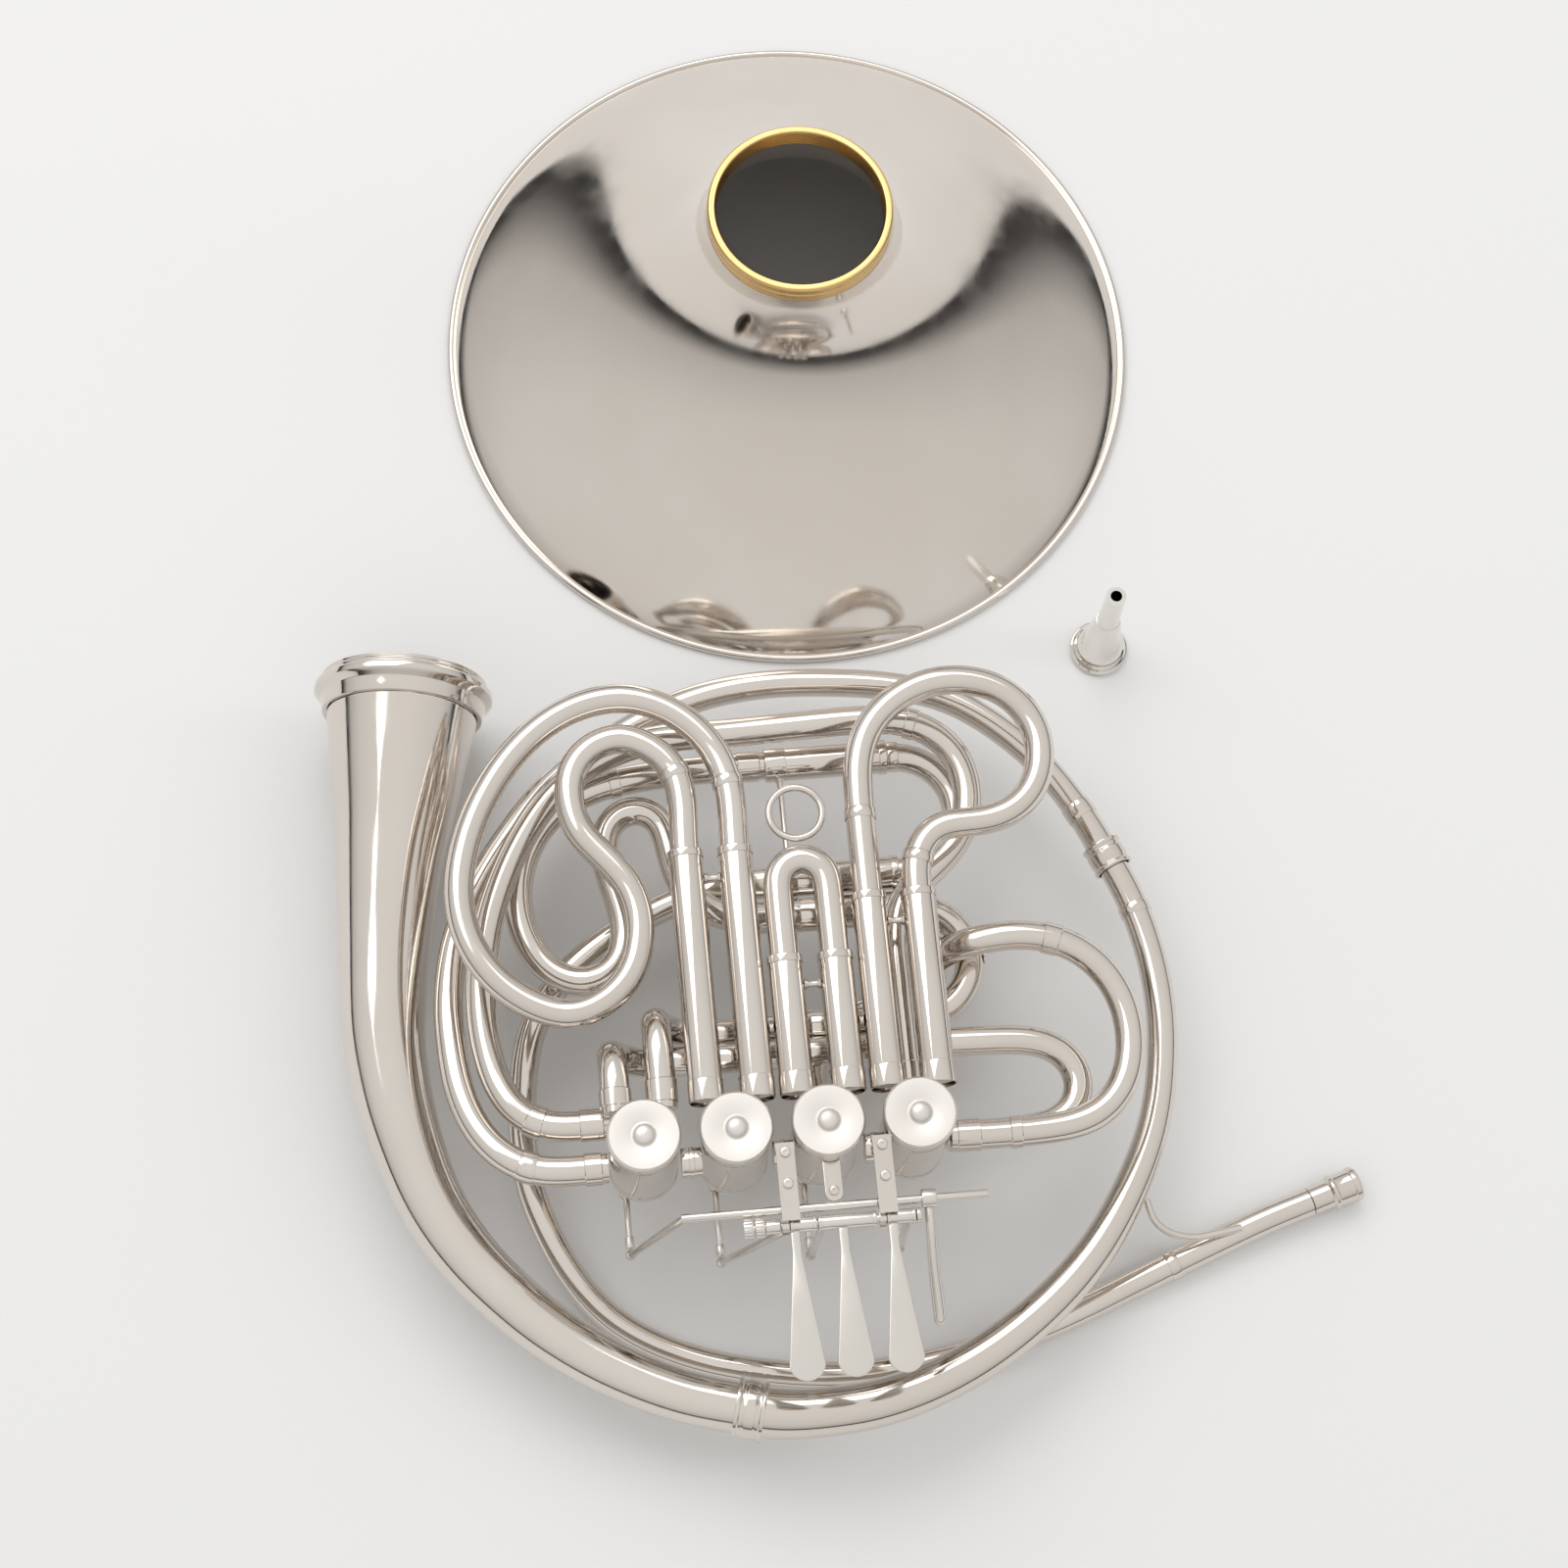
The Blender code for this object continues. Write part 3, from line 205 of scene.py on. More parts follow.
def metal(name, bright, dull, rough, hairline=0.03, grain=1400.0):
    """Plated metal with cloudy tarnish, uneven polish and fine hairlines."""
    made = bpy.data.materials.new(name)
    made.use_nodes = True
    nodes, links = made.node_tree.nodes, made.node_tree.links
    shader = nodes["Principled BSDF"]
    shader.inputs["Metallic"].default_value = 1.0
    vector = nodes.new("ShaderNodeTexCoord").outputs["Object"]
    mix = nodes.new("ShaderNodeMix")
    mix.data_type = "RGBA"
    mix.inputs["A"].default_value = (*bright, 1)
    mix.inputs["B"].default_value = (*dull, 1)
    cloud = noise(nodes, links, vector, 11.0, 5.0)
    links.new(ramp(nodes, links, cloud, 0.0, 0.6), mix.inputs["Factor"])
    links.new(mix.outputs["Result"], shader.inputs["Base Color"])
    polish = noise(nodes, links, vector, 48.0, 4.0)
    links.new(ramp(nodes, links, polish, *rough), shader.inputs["Roughness"])
    lines = noise(nodes, links, vector, grain, 2.0, (1.0, 0.12, 1.0))
    bump = nodes.new("ShaderNodeBump")
    bump.inputs["Strength"].default_value = hairline
    bump.inputs["Distance"].default_value = 0.0002
    links.new(lines, bump.inputs["Height"])
    links.new(bump.outputs["Normal"], shader.inputs["Normal"])
    return made


def turned_satin(name, bright, dull):
    """Satin metal with the fine rings that a lathe leaves, round each piece's own middle."""
    made = metal(name, bright, dull, (0.36, 0.46), 0.05)
    nodes, links = made.node_tree.nodes, made.node_tree.links
    centred = nodes.new("ShaderNodeMapping")
    centred.inputs["Location"].default_value = (-0.5, -0.5, 0)
    coordinates = nodes.new("ShaderNodeTexCoord")
    links.new(coordinates.outputs["Generated"], centred.inputs["Vector"])
    rings = nodes.new("ShaderNodeTexWave")
    rings.wave_type = "RINGS"
    rings.rings_direction = "Z"
    rings.inputs["Scale"].default_value = 24.0
    rings.inputs["Distortion"].default_value = 0.6
    links.new(centred.outputs["Vector"], rings.inputs["Vector"])
    second = nodes.new("ShaderNodeBump")
    second.inputs["Strength"].default_value = 0.05
    second.inputs["Distance"].default_value = 0.0003
    links.new(rings.outputs["Fac"], second.inputs["Height"])
    first = next(n for n in nodes if n.type == "BUMP" and n is not second)
    links.new(first.outputs["Normal"], second.inputs["Normal"])
    links.new(second.outputs["Normal"], nodes["Principled BSDF"].inputs["Normal"])
    return made


def matt(name, colour, other, roughness):
    """Cork, rubber or a floor: a grainy surface with a little colour variation."""
    made = bpy.data.materials.new(name)
    made.use_nodes = True
    nodes, links = made.node_tree.nodes, made.node_tree.links
    shader = nodes["Principled BSDF"]
    shader.inputs["Roughness"].default_value = roughness
    vector = nodes.new("ShaderNodeTexCoord").outputs["Object"]
    mix = nodes.new("ShaderNodeMix")
    mix.data_type = "RGBA"
    mix.inputs["A"].default_value = (*colour, 1)
    mix.inputs["B"].default_value = (*other, 1)
    links.new(noise(nodes, links, vector, 900.0, 4.0), mix.inputs["Factor"])
    links.new(mix.outputs["Result"], shader.inputs["Base Color"])
    return made


NICKEL = metal("nickel_plate", (0.78, 0.73, 0.68), (0.70, 0.64, 0.58), (0.05, 0.12))
SATIN = turned_satin("satin_nickel", (0.88, 0.85, 0.81), (0.82, 0.78, 0.74))
LEVER = metal("lever_metal", (0.80, 0.77, 0.73), (0.72, 0.68, 0.63), (0.12, 0.24))
BRASS = metal("gold_brass", (0.83, 0.58, 0.26), (0.66, 0.43, 0.18), (0.14, 0.26), 0.06)
SILVER = metal("silver_plate", (0.86, 0.84, 0.80), (0.78, 0.75, 0.70), (0.04, 0.10))
CORK_BLACK = matt("cork_bumper", (0.020, 0.019, 0.018), (0.05, 0.046, 0.042), 0.75)


# Shapes: each returns (corners, faces) in millimetres


def smooth_route(points, steps):
    """Points along a Catmull-Rom curve through the given (x, y, z, diameter) stations."""
    stations = [Vector(p) for p in points]
    stations.insert(0, stations[0] * 2 - stations[1])
    stations.append(stations[-1] * 2 - stations[-2])
    route = []
    for a, b, c, d in zip(stations, stations[1:], stations[2:], stations[3:]):
        for step in range(steps):
            t = step / steps
            spread = b * 2 + (c - a) * t + (a * 2 - b * 5 + c * 4 - d) * t**2
            route.append((spread + (b * 3 - a - c * 3 + d) * t**3) / 2)
    route.append(stations[-2])
    return route


def even_route(points, spacing=SPACING, rounds=10):
    """The same curve at even steps, with the ripple between its stations smoothed out."""
    dense = smooth_route(points, 16)
    route, left = [dense[0]], spacing
    for a, b in zip(dense, dense[1:]):
        length = (b - a).to_3d().length
        along = 0.0
        while length - along >= left:
            along += left
            route.append(a.lerp(b, along / length))
            left = spacing
        left -= length - along
    if (route[-1] - dense[-1]).to_3d().length < spacing / 2:
        route.pop()
    route.append(dense[-1])
    for _ in range(rounds):
        inner = [(a + b * 2 + c) / 4 for a, b, c in zip(route, route[1:], route[2:])]
        route = [route[0]] + inner + [route[-1]]
    return route


def loft(route, sides=SIDES, capped=True):
    """A round tube along (x, y, z, diameter) points."""
    points = [Vector(p[:3]) for p in route]
    along = [(b - a).normalized() for a, b in zip(points, points[1:])]
    along = [along[0]] + [(a + b).normalized() for a, b in zip(along, along[1:])] + [along[-1]]
    across = along[0].orthogonal().normalized()
    corners, faces = [], []
    for index, point in enumerate(points):
        if index:
            across = along[index - 1].rotation_difference(along[index]) @ across
        up = along[index].cross(across)
        radius = route[index][3] / 2
        for side in range(sides):
            angle = math.tau * side / sides
            corners.append(point + (across * math.cos(angle) + up * math.sin(angle)) * radius)
    for ring in range(len(points) - 1):
        faces += ring_faces(ring * sides, (ring + 1) * sides, sides)
    if capped:
        faces.append(tuple(range(sides))[::-1])
        faces.append(tuple(range((len(points) - 1) * sides, len(points) * sides)))
    return corners, faces


def ring_faces(first, second, sides):
    faces = []
    for side in range(sides):
        other = (side + 1) % sides
        faces.append((first + side, first + other, second + other, second + side))
    return faces


def band(route, start, length, extra, sides=SIDES):
    """A thin ferrule round a route. A start below 0 counts back from the far end."""
    if start < 0:
        return band(route[::-1], -start - length, length, extra, sides)
    travelled, part = 0.0, []
    for a, b in zip(route, route[1:]):
        if start <= travelled <= start + length:
            part.append(a)
        travelled += (b - a).to_3d().length
    while len(part) < 3:
        part.append(part[-1] * 2 - part[-2] if len(part) > 1 else route[1])
    first, last = part[0], part[-1]
    ends = ((0.0, -0.3), (0.05, extra * 0.6), (0.35, extra))
    run = (part[1] - first).normalized(), (last - part[-2]).normalized()
    shaped = [first + run[0] * step + Vector((0, 0, 0, 2 * more)) for step, more in ends]
    shaped += [p + Vector((0, 0, 0, 2 * extra)) for p in part[1:-1]]
    shaped += [last - run[1] * step + Vector((0, 0, 0, 2 * more)) for step, more in ends[::-1]]
    return loft(shaped, sides, False)


def soften(profile, radius, closed=False, count=3):
    """Rounds the corners of a turned profile."""
    points = [Vector(p) for p in profile]
    rounded = []
    for index, point in enumerate(points):
        if not closed and index in (0, len(points) - 1):
            rounded.append(point)
            continue
        before, after = points[index - 1], points[(index + 1) % len(points)]
        back, on = before - point, after - point
        if min(back.length, on.length) < 0.001 or abs(back.angle(on) - math.pi) < 0.15:
            rounded.append(point)
            continue
        start = point + back * min(0.45, radius / back.length)
        end = point + on * min(0.45, radius / on.length)
        for step in range(count + 1):
            t = step / count
            rounded.append(start * (1 - t) ** 2 + point * 2 * t * (1 - t) + end * t**2)
    return rounded


def lathe(profile, place=(0, 0, 0), axis=(0, 0, 1), steps=72, closed=False, knurl=None):
    """A turned shape. knurl is (radius, depth): every other corner beyond radius goes in by depth."""
    turn = Vector(axis).to_track_quat("Z", "Y").to_matrix()
    place = Vector(place)
    corners, rings, faces = [], [], []
    for radius, height in profile:
        count = 1 if abs(radius) < 0.001 else steps
        rings.append((len(corners), count))
        for step in range(count):
            angle = math.tau * step / steps
            out = radius
            if knurl and radius > knurl[0] and step % 2:
                out -= knurl[1]
            corners.append(place + turn @ Vector((out * math.cos(angle), out * math.sin(angle), height)))
    pairs = list(zip(rings, rings[1:]))
    if closed:
        pairs.append((rings[-1], rings[0]))
    for (first, count), (second, other) in pairs:
        if count == other == steps:
            faces += ring_faces(first, second, steps)
        elif count == steps:
            faces += [(first + s, first + (s + 1) % steps, second) for s in range(steps)]
        elif other == steps:
            faces += [(first, second + (s + 1) % steps, second + s) for s in range(steps)]
    return corners, faces


def rod(start, end, diameter, edge=0.35, steps=24):
    """A solid round bar with softened ends."""
    length = (Vector(end) - Vector(start)).length
    radius = diameter / 2
    profile = soften([(0, length), (radius, length), (radius, 0), (0, 0)], edge)
    return lathe(profile, start, Vector(end) - Vector(start), steps)


def pipe(start, end, outer, bore, edge=0.2, steps=40):
    """An open tube with softened edges."""
    length = (Vector(end) - Vector(start)).length
    ring = [(outer / 2, length), (outer / 2, 0), (bore / 2, 0), (bore / 2, length)]
    return lathe(soften(ring, edge, True), start, Vector(end) - Vector(start), steps, True)


def flanged_rod(start, end, diameter, flange):
    """A brace that swells into a soldered foot at each end."""
    length = (Vector(end) - Vector(start)).length
    foot = min(2.4, length / 3)
    r, f = diameter / 2, flange / 2
    profile = [(0, length), (f, length), (f * 0.92, length - 0.4), (r * 1.25, length - foot * 0.6)]
    profile += [(r, length - foot), (r, foot), (r * 1.25, foot * 0.6), (f * 0.92, 0.4), (f, 0), (0, 0)]
    return lathe(profile, start, Vector(end) - Vector(start), 20)


def ball(centre, diameter):
    radius = diameter / 2
    profile = []
    for step in range(13):
        angle = math.pi * step / 12
        profile.append((radius * math.sin(angle), radius * math.cos(angle)))
    return lathe(profile, centre, steps=24)


def slab(outline, low, high, edge):
    """A flat plate with rounded edges, from its outline seen from above."""
    points = [Vector(p) for p in outline]
    inward = []
    for index, point in enumerate(points):
        before, after = points[index - 1], points[(index + 1) % len(points)]
        way = (after - before).normalized()
        inward.append(Vector((-way.y, way.x)))
    layers = [(edge, low), (edge * 0.3, low + edge * 0.3), (0, low + edge)]
    layers += [(0, high - edge), (edge * 0.3, high - edge * 0.3), (edge, high)]
    corners, faces = [], []
    for inset, z in layers:
        corners += [(p + n * inset).to_3d() + Vector((0, 0, z)) for p, n in zip(points, inward)]
    count = len(points)
    for layer in range(len(layers) - 1):
        faces += ring_faces(layer * count, (layer + 1) * count, count)
    faces.append(tuple(range(count))[::-1])
    faces.append(tuple(range((len(layers) - 1) * count, len(layers) * count)))
    return corners, faces


def screw_head(place, axis=(0, 0, 1), diameter=4.4, height=1.6):
    """A slotted screw's head."""
    radius = diameter / 2
    profile = [(0, height - 0.5), (0.5, height - 0.5), (0.5, height), (radius * 0.8, height - 0.1)]
    profile += [(radius, height - 0.7), (radius, 0), (0, 0)]
    return lathe(soften(profile, 0.15), place, axis, 24)


def piece(name, shapes, finish, node=None, body=None, sharp=35):
    """One mesh object from the shapes. It rides on its node's body and stands for that node."""
    corners, faces = [], []
    for shape_corners, shape_faces in shapes:
        base = len(corners)
        corners += [Vector(c) * MM + SHIFT for c in shape_corners]
        faces += [tuple(i + base for i in face) for face in shape_faces]
    mesh = bpy.data.meshes.new(name)
    mesh.from_pydata(corners, [], faces)
    mesh.validate()
    mesh.shade_smooth()
    mesh.set_sharp_from_angle(angle=math.radians(sharp))
    mesh.materials.append(finish)
    made = bpy.data.objects.new(name, mesh)
    bpy.context.scene.collection.objects.link(made)
    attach(made, body or BODY_OF[node])
    if node:
        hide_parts(node)
    return made


def nickel_piece(node, shapes, sharp=35):
    return piece(f"{node}_look", shapes, NICKEL, node, sharp=sharp)


def lever_piece(node, shapes):
    return piece(f"{node}_look", shapes, LEVER, node)


# Routes, as in the part


def in_line(route, length):
    """The start of the next tube, square to this one's end, and a point in line further on."""
    last, before = Vector(route[-1]), Vector(route[-2])
    along = last - before
    along[3] = 0
    along.normalize()
    return [tuple(last + along * 2 * GAP), tuple(last + along * length)]


def tail_stations():
    ring_z = RING_OUTER / 2
    return [
        (-141.9, 203.0, ring_z, TAIL_MOUTH),
        (-144.5, 183.0, ring_z, 58.0),
        (-147.0, 163.5, 37.5, 52.3),
        (-150.5, 141.0, 37.0, 45.5),
        (-154.5, 106.0, 36.0, 39.1),
        (-157.0, 74.0, 36.0, 35.6),
        (-156.6, 55.0, 35.5, 33.4),
        (-153.0, 30.0, 35.0, 31.0),
        (-143.5, -3.0, 34.0, 27.6),
        (-130.0, -28.0, 34.0, 25.6),
        (-112.0, -49.5, 33.5, 24.2),
        (-94.0, -66.0, 33.0, 23.2),
        (-72.0, -81.0, 33.0, 22.2),
        (-46.0, -93.5, 33.0, 21.4),
        (-20.0, -101.0, 33.0, 20.8),
    ]


def branch_stations():
    return in_line(smooth_route(tail_stations(), 2), 10.0) + [
        (8.0, -104.6, 33.0, 20.0),
        (32.0, -103.0, 33.0, 19.4),
        (58.0, -96.0, 33.0, 18.6),
        (84.0, -83.5, 33.0, 17.8),
        (110.0, -65.0, 33.0, 16.8),
        (131.0, -43.5, 33.0, 15.6),
        (149.0, -16.0, 33.0, 14.4),
        (159.5, 8.5, 33.0, 13.4),
        (165.3, 37.0, 33.0, 13.0),
        (166.3, 60.0, 33.0, 13.0),
        (164.0, 82.0, 33.0, 12.8),
        (159.0, 102.0, 33.0, 12.8),
        (152.3, 119.0, 33.0, 12.8),
    ]


def return_stations():
    end_x = valve_x(0) - casing_reach()
    start = in_line(smooth_route(branch_stations(), 2), 8.0)
    points = [
        (141.5, 143.0, 33.0),
        (127.5, 165.0, 33.0),
        (109.0, 184.0, 33.0),
        (89.5, 197.0, 33.0),
        (66.0, 204.0, 33.0),
        (39.0, 207.5, 33.0),
        (15.0, 208.5, 33.0),
        (-9.0, 206.0, 33.0),
        (-32.0, 199.0, 33.0),
        (-57.0, 186.5, 33.0),
        (-79.5, 171.0, 34.0),
        (-98.0, 149.5, 37.0),
        (-113.5, 125.5, 42.0),
        (-124.5, 101.0, 47.0),
        (-129.3, 74.0, 51.0),
        (-129.2, 53.5, 54.0),
        (-127.0, 33.5, 57.0),
        (-121.5, 17.5, 59.0),
        (-113.0, 5.5, 61.0),
        (-103.0, -1.6, MIDDLE_Z),
        (-92.0, -4.5, MIDDLE_Z),
        (end_x, -4.7, MIDDLE_Z),
    ]
    return start + [(*point, TUBE) for point in points]


def leadpipe_stations():
    low = LEADPIPE / 2
    points = [
        (222.6, -31.0, 7.5),
        (201.5, -37.5, 7.2),
        (171.5, -48.5, 6.6),
        (146.5, -58.0, low),
        (119.5, -68.5, low),
        (96.0, -76.0, low),
        (60.0, -84.0, low),
        (20.0, -86.5, low),
        (-20.0, -80.5, low),
        (-50.0, -70.0, low),
        (-72.0, -56.0, 8.0),
        (-86.0, -39.0, 12.0),
        (-95.5, -20.0, 16.0),
        (-101.5, -1.0, 20.0),
        (-103.3, 18.0, 23.0),
        (-101.5, 43.0, 26.0),
        (-95.5, 66.0, 28.0),
        (-80.5, 87.0, 29.0),
        (-56.0, 104.0, 30.0),
        (-30.0, 114.5, 33.0),
        (-10.0, TUNING_LEGS[0], 38.0),
        (REAR_SLEEVE_X[0] - GAP, TUNING_LEGS[0], TUNING_Z),
    ]
    return [(*point, LEADPIPE) for point in points]


def second_return_stations():
    start_x = valve_x(0) - casing_reach(7.0)
    lift = 53.6
    points = [
        (start_x, 13.2, 63.0),
        (-82.5, 13.2, 63.0),
        (-93.5, 14.5, 62.5),
        (-103.5, 20.5, 62.0),
        (-110.8, 32.0, 61.0),
        (-114.6, 47.5, 60.0),
        (-116.0, 66.0, 59.5),
        (-114.0, 88.0, 59.5),
        (-108.0, 111.0, 59.5),
        (-96.0, 136.0, 59.5),
        (-79.0, 158.0, 59.5),
        (-58.0, 172.0, 58.0),
        (-34.0, 178.5, 56.0),
        (-2.0, 180.0, lift),
        (28.0, 181.0, lift),
        (50.0, 181.5, lift),
        (68.0, 180.0, lift),
        (82.0, 173.0, lift),
        (90.5, 162.0, lift),
        (93.5, 148.0, lift),
        (91.5, 134.0, lift),
        (84.0, 121.0, 54.5),
        (72.0, 110.0, 56.5),
        (61.0, 99.0, 59.0),
        (55.5, 85.0, 61.0),
        (valve_x(3), 68.0, MIDDLE_Z),
        (valve_x(3), 40.0, MIDDLE_Z),
        (valve_x(3), casing_reach(), MIDDLE_Z),
    ]
    return [(*point, TUBE) for point in points]


def front_loop_stations():
    start_x = valve_x(3) + casing_reach()
    points = [
        (start_x, -3.2, MIDDLE_Z),
        (90.0, -3.6, MIDDLE_Z),
        (107.0, -3.4, MIDDLE_Z),
        (122.5, -1.8, MIDDLE_Z),
        (134.0, 3.6, MIDDLE_Z),
        (142.3, 13.4, MIDDLE_Z),
        (146.6, 26.0, MIDDLE_Z),
        (147.0, 41.5, MIDDLE_Z),
        (143.0, 55.5, MIDDLE_Z),
        (134.5, 67.5, MIDDLE_Z),
        (122.0, 75.8, MIDDLE_Z),
        (106.5, 79.2, MIDDLE_Z),
        (91.0, 79.0, 60.0),
        (78.0, 78.0, 53.0),
        (71.0, 75.0, 42.0),
        (66.0, 70.0, 31.0),
        (55.0, 65.0, 25.0),
        (38.0, 60.0, 24.0),
        (24.0, 52.0, 25.0),
        (valve_x(2), 39.0, 28.5),
        (valve_x(2), 26.0, 36.5),
        (valve_x(2), casing_reach() + 4.0, 44.0),
    ]
    return [(*point, TUBE) for point in points]


def rear_loop_stations():
    stub_x = valve_x(0) - 9.8
    points = [
        (stub_x, casing_reach(9.8 - TUBE / 2), 75.0),
        (stub_x, 26.0, 75.0),
        (stub_x, 36.0, 73.0),
        (stub_x, 41.5, 65.0),
        (stub_x + 2.0, 42.5, 55.0),
        (-54.5, 41.0, 49.0),
        (-40.0, 40.4, REAR_Z),
        (0.0, 40.2, REAR_Z),
        (55.0, 40.0, REAR_Z),
        (93.0, 39.0, REAR_Z),
        (108.5, 37.6, REAR_Z),
        (119.0, 33.0, REAR_Z),
        (125.3, 24.5, REAR_Z),
        (126.0, 14.5, REAR_Z),
        (121.5, 6.5, REAR_Z),
        (112.0, 1.5, REAR_Z),
        (95.0, 0.0, REAR_Z),
        (valve_x(3) + casing_reach(), 0.0, REAR_Z),
    ]
    return [(*point, TUBE) for point in points]


def change_elbow_stations():
    stub_x = valve_x(0) + 8.8
    points = [
        (stub_x, casing_reach(8.8 - TUBE / 2), 75.0),
        (stub_x, 36.0, 75.0),
        (stub_x, 47.0, 73.0),
        (stub_x, 54.0, 65.0),
        (stub_x + 1.5, 55.0, 54.0),
        (-38.0, 54.0, 43.5),
        (-26.0, B_FLAT_LEGS[0], TUNING_Z),
        (REAR_SLEEVE_X[0] - GAP, B_FLAT_LEGS[0], TUNING_Z),
    ]
    return [(*point, TUBE) for point in points]


def inner_loop_stations():
    points = [
        (REAR_SLEEVE_X[0] - GAP, TUNING_LEGS[1], TUNING_Z),
        (-12.0, 168.5, 42.0),
        (-36.0, 166.5, 45.0),
        (-60.0, 163.0, 46.0),
        (-79.0, 154.5, 46.0),
        (-92.0, 139.0, 46.0),
        (-97.8, 121.0, 46.0),
        (-97.0, 103.0, 46.0),
        (-89.5, 86.5, 46.0),
        (-77.0, 78.0, 46.5),
        (-64.0, 79.5, 47.0),
        (-55.5, 90.0, 47.0),
        (-55.0, 106.0, 47.0),
        (-59.5, 124.0, 47.0),
        (-61.0, 139.0, 47.0),
        (-55.0, 149.0, 47.0),
        (-45.5, 151.5, 47.0),
        (-36.5, 146.5, 47.0),
        (-33.5, 134.0, 47.0),
        (-30.0, 117.0, 47.0),
        (-20.0, 105.5, 45.0),
        (-6.0, B_FLAT_LEGS[1], 41.5),
        (REAR_SLEEVE_X[0] - GAP, B_FLAT_LEGS[1], TUNING_Z),
    ]
    return [(*point, TUBE) for point in points]


def slide_legs(index):
    centre = valve_x(index + 1)
    return centre - LEG_SPREAD, centre + LEG_SPREAD


def sleeve_foot():
    return casing_reach(LEG_SPREAD - SLEEVE / 2)


def first_slide_points():
    left, right = slide_legs(0)
    foot = sleeve_foot() + 1.0
    return [
        (left, foot),
        (left, 70.0),
        (left, 122.0),
        (left + 0.8, 143.0),
        (-32.0, 160.0),
        (-49.0, 171.8),
        (-65.5, 167.5),
        (-73.6, 154.5),
        (-72.0, 134.5),
        (-61.5, 120.5),
        (-52.5, 108.0),
        (-49.0, 92.0),
        (-53.0, 72.5),
        (-65.5, 59.5),
        (-82.5, 55.0),
        (-103.5, 66.5),
        (-117.0, 85.0),
        (-121.5, 105.0),
        (-119.0, 125.0),
        (-111.5, 145.0),
        (-98.5, 165.0),
        (-82.0, 180.0),
        (-64.0, 188.0),
        (-46.5, 189.0),
        (-30.0, 182.5),
        (-17.0, 170.5),
        (-9.8, 156.0),
        (right + 0.6, 139.5),
        (right, 120.0),
        (right, 70.0),
        (right, foot),
    ]


def second_slide_points():
    left, right = slide_legs(1)
    foot = sleeve_foot() + 1.0
    bend = []
    for step in range(9):
        angle = math.pi * (1 - step / 8)
        bend.append((valve_x(2) + LEG_SPREAD * math.cos(angle), 104.2 + LEG_SPREAD * math.sin(angle)))
    return [(left, foot), (left, 60.0)] + bend + [(right, 60.0), (right, foot)]


def third_slide_points():
    left, right = slide_legs(2)
    foot = sleeve_foot() + 1.0
    return [
        (left, foot),
        (left, 60.0),
        (left, 106.0),
        (left + 0.3, 136.0),
        (46.3, 154.5),
        (52.2, 169.0),
        (64.0, 180.0),
        (78.0, 186.0),
        (92.5, 186.6),
        (107.0, 182.0),
        (117.3, 172.0),
        (122.0, 160.0),
        (121.8, 148.0),
        (117.6, 136.8),
        (109.0, 128.0),
        (98.0, 124.0),
        (87.0, 123.8),
        (77.0, 123.2),
        (69.5, 117.5),
        (right + 0.3, 107.0),
        (right, 97.0),
        (right, 60.0),
        (right, foot),
    ]


def rear_slide_stations(legs):
    middle, radius = (legs[0] + legs[1]) / 2, (legs[1] - legs[0]) / 2
    foot, bend_x = REAR_SLEEVE_X[0] + 1.0, REAR_SLEEVE_X[1] + 2.0
    bend = []
    for step in range(11):
        angle = math.pi * (step / 10 - 0.5)
        bend.append((bend_x + radius * math.cos(angle), middle + radius * math.sin(angle), TUNING_Z, TUBE))
    return [(foot, legs[0], TUNING_Z, TUBE)] + bend + [(foot, legs[1], TUNING_Z, TUBE)]


# The pieces


def thread_profile(radius, low, high, depth):
    """Corners of a screw thread's ridges, from high down to low. A minus depth cuts outwards."""
    turns = max(2, int((high - low) / THREAD_PITCH))
    pitch = (high - low) / turns
    points = []
    for turn in range(turns):
        top = high - turn * pitch
        points += [(radius, top - pitch * 0.1), (radius - depth, top - pitch * 0.5)]
        points.append((radius, top - pitch * 0.9))
    return points


def bell_profile():
    throat = BELL_RING_OUTER / 2 - 0.6
    top = BELL_HEIGHT - BELL_RING_HEIGHT - GAP
    rim = BELL_DIAMETER / 2
    outline = []
    steps = 64
    for step in range(steps):
        share = step / steps
        spread = throat + (rim - RIM_BEAD - throat) * share**2.1
        height = top * (1 - share) ** 0.86 + RIM_BEAD
        outline.append((spread, min(height, top)))
    bead, radius = [], RIM_BEAD * 0.75
    for step in range(13):
        angle = math.radians(150 - 255 * step / 12)
        bead.append((rim - radius + radius * math.cos(angle), radius + radius * math.sin(angle)))
    inner = [(r - BELL_WALL * 1.2, z - BELL_WALL * 0.9) for r, z in outline[1:]]
    return outline + bead + inner[::-1] + [(throat - BELL_WALL * 1.2, top)]


def make_bell():
    place = (*BELL_CENTRE, 0)
    nickel_piece("bell_flare", [lathe(bell_profile(), place, steps=192, closed=True)], 50)
    low, top = BELL_HEIGHT - BELL_RING_HEIGHT, BELL_HEIGHT
    outer, bore = BELL_RING_OUTER / 2, BELL_RING_BORE / 2
    ring = [(bore + 0.8, top), (outer - 0.8, top), (outer, top - 0.8), (outer, top - 3.0)]
    ring += [(outer - 0.5, top - 3.4), (outer - 0.5, top - 4.4), (outer, top - 4.8), (outer, low)]
    ring += [(bore, low)] + thread_profile(bore, low + 0.4, top - 1.0, -THREAD_DEPTH)[::-1]
    shape = lathe(soften(ring, 0.12, True, 2), place, steps=128, closed=True)
    piece("bell_ring_look", [shape], BRASS, "bell_ring")


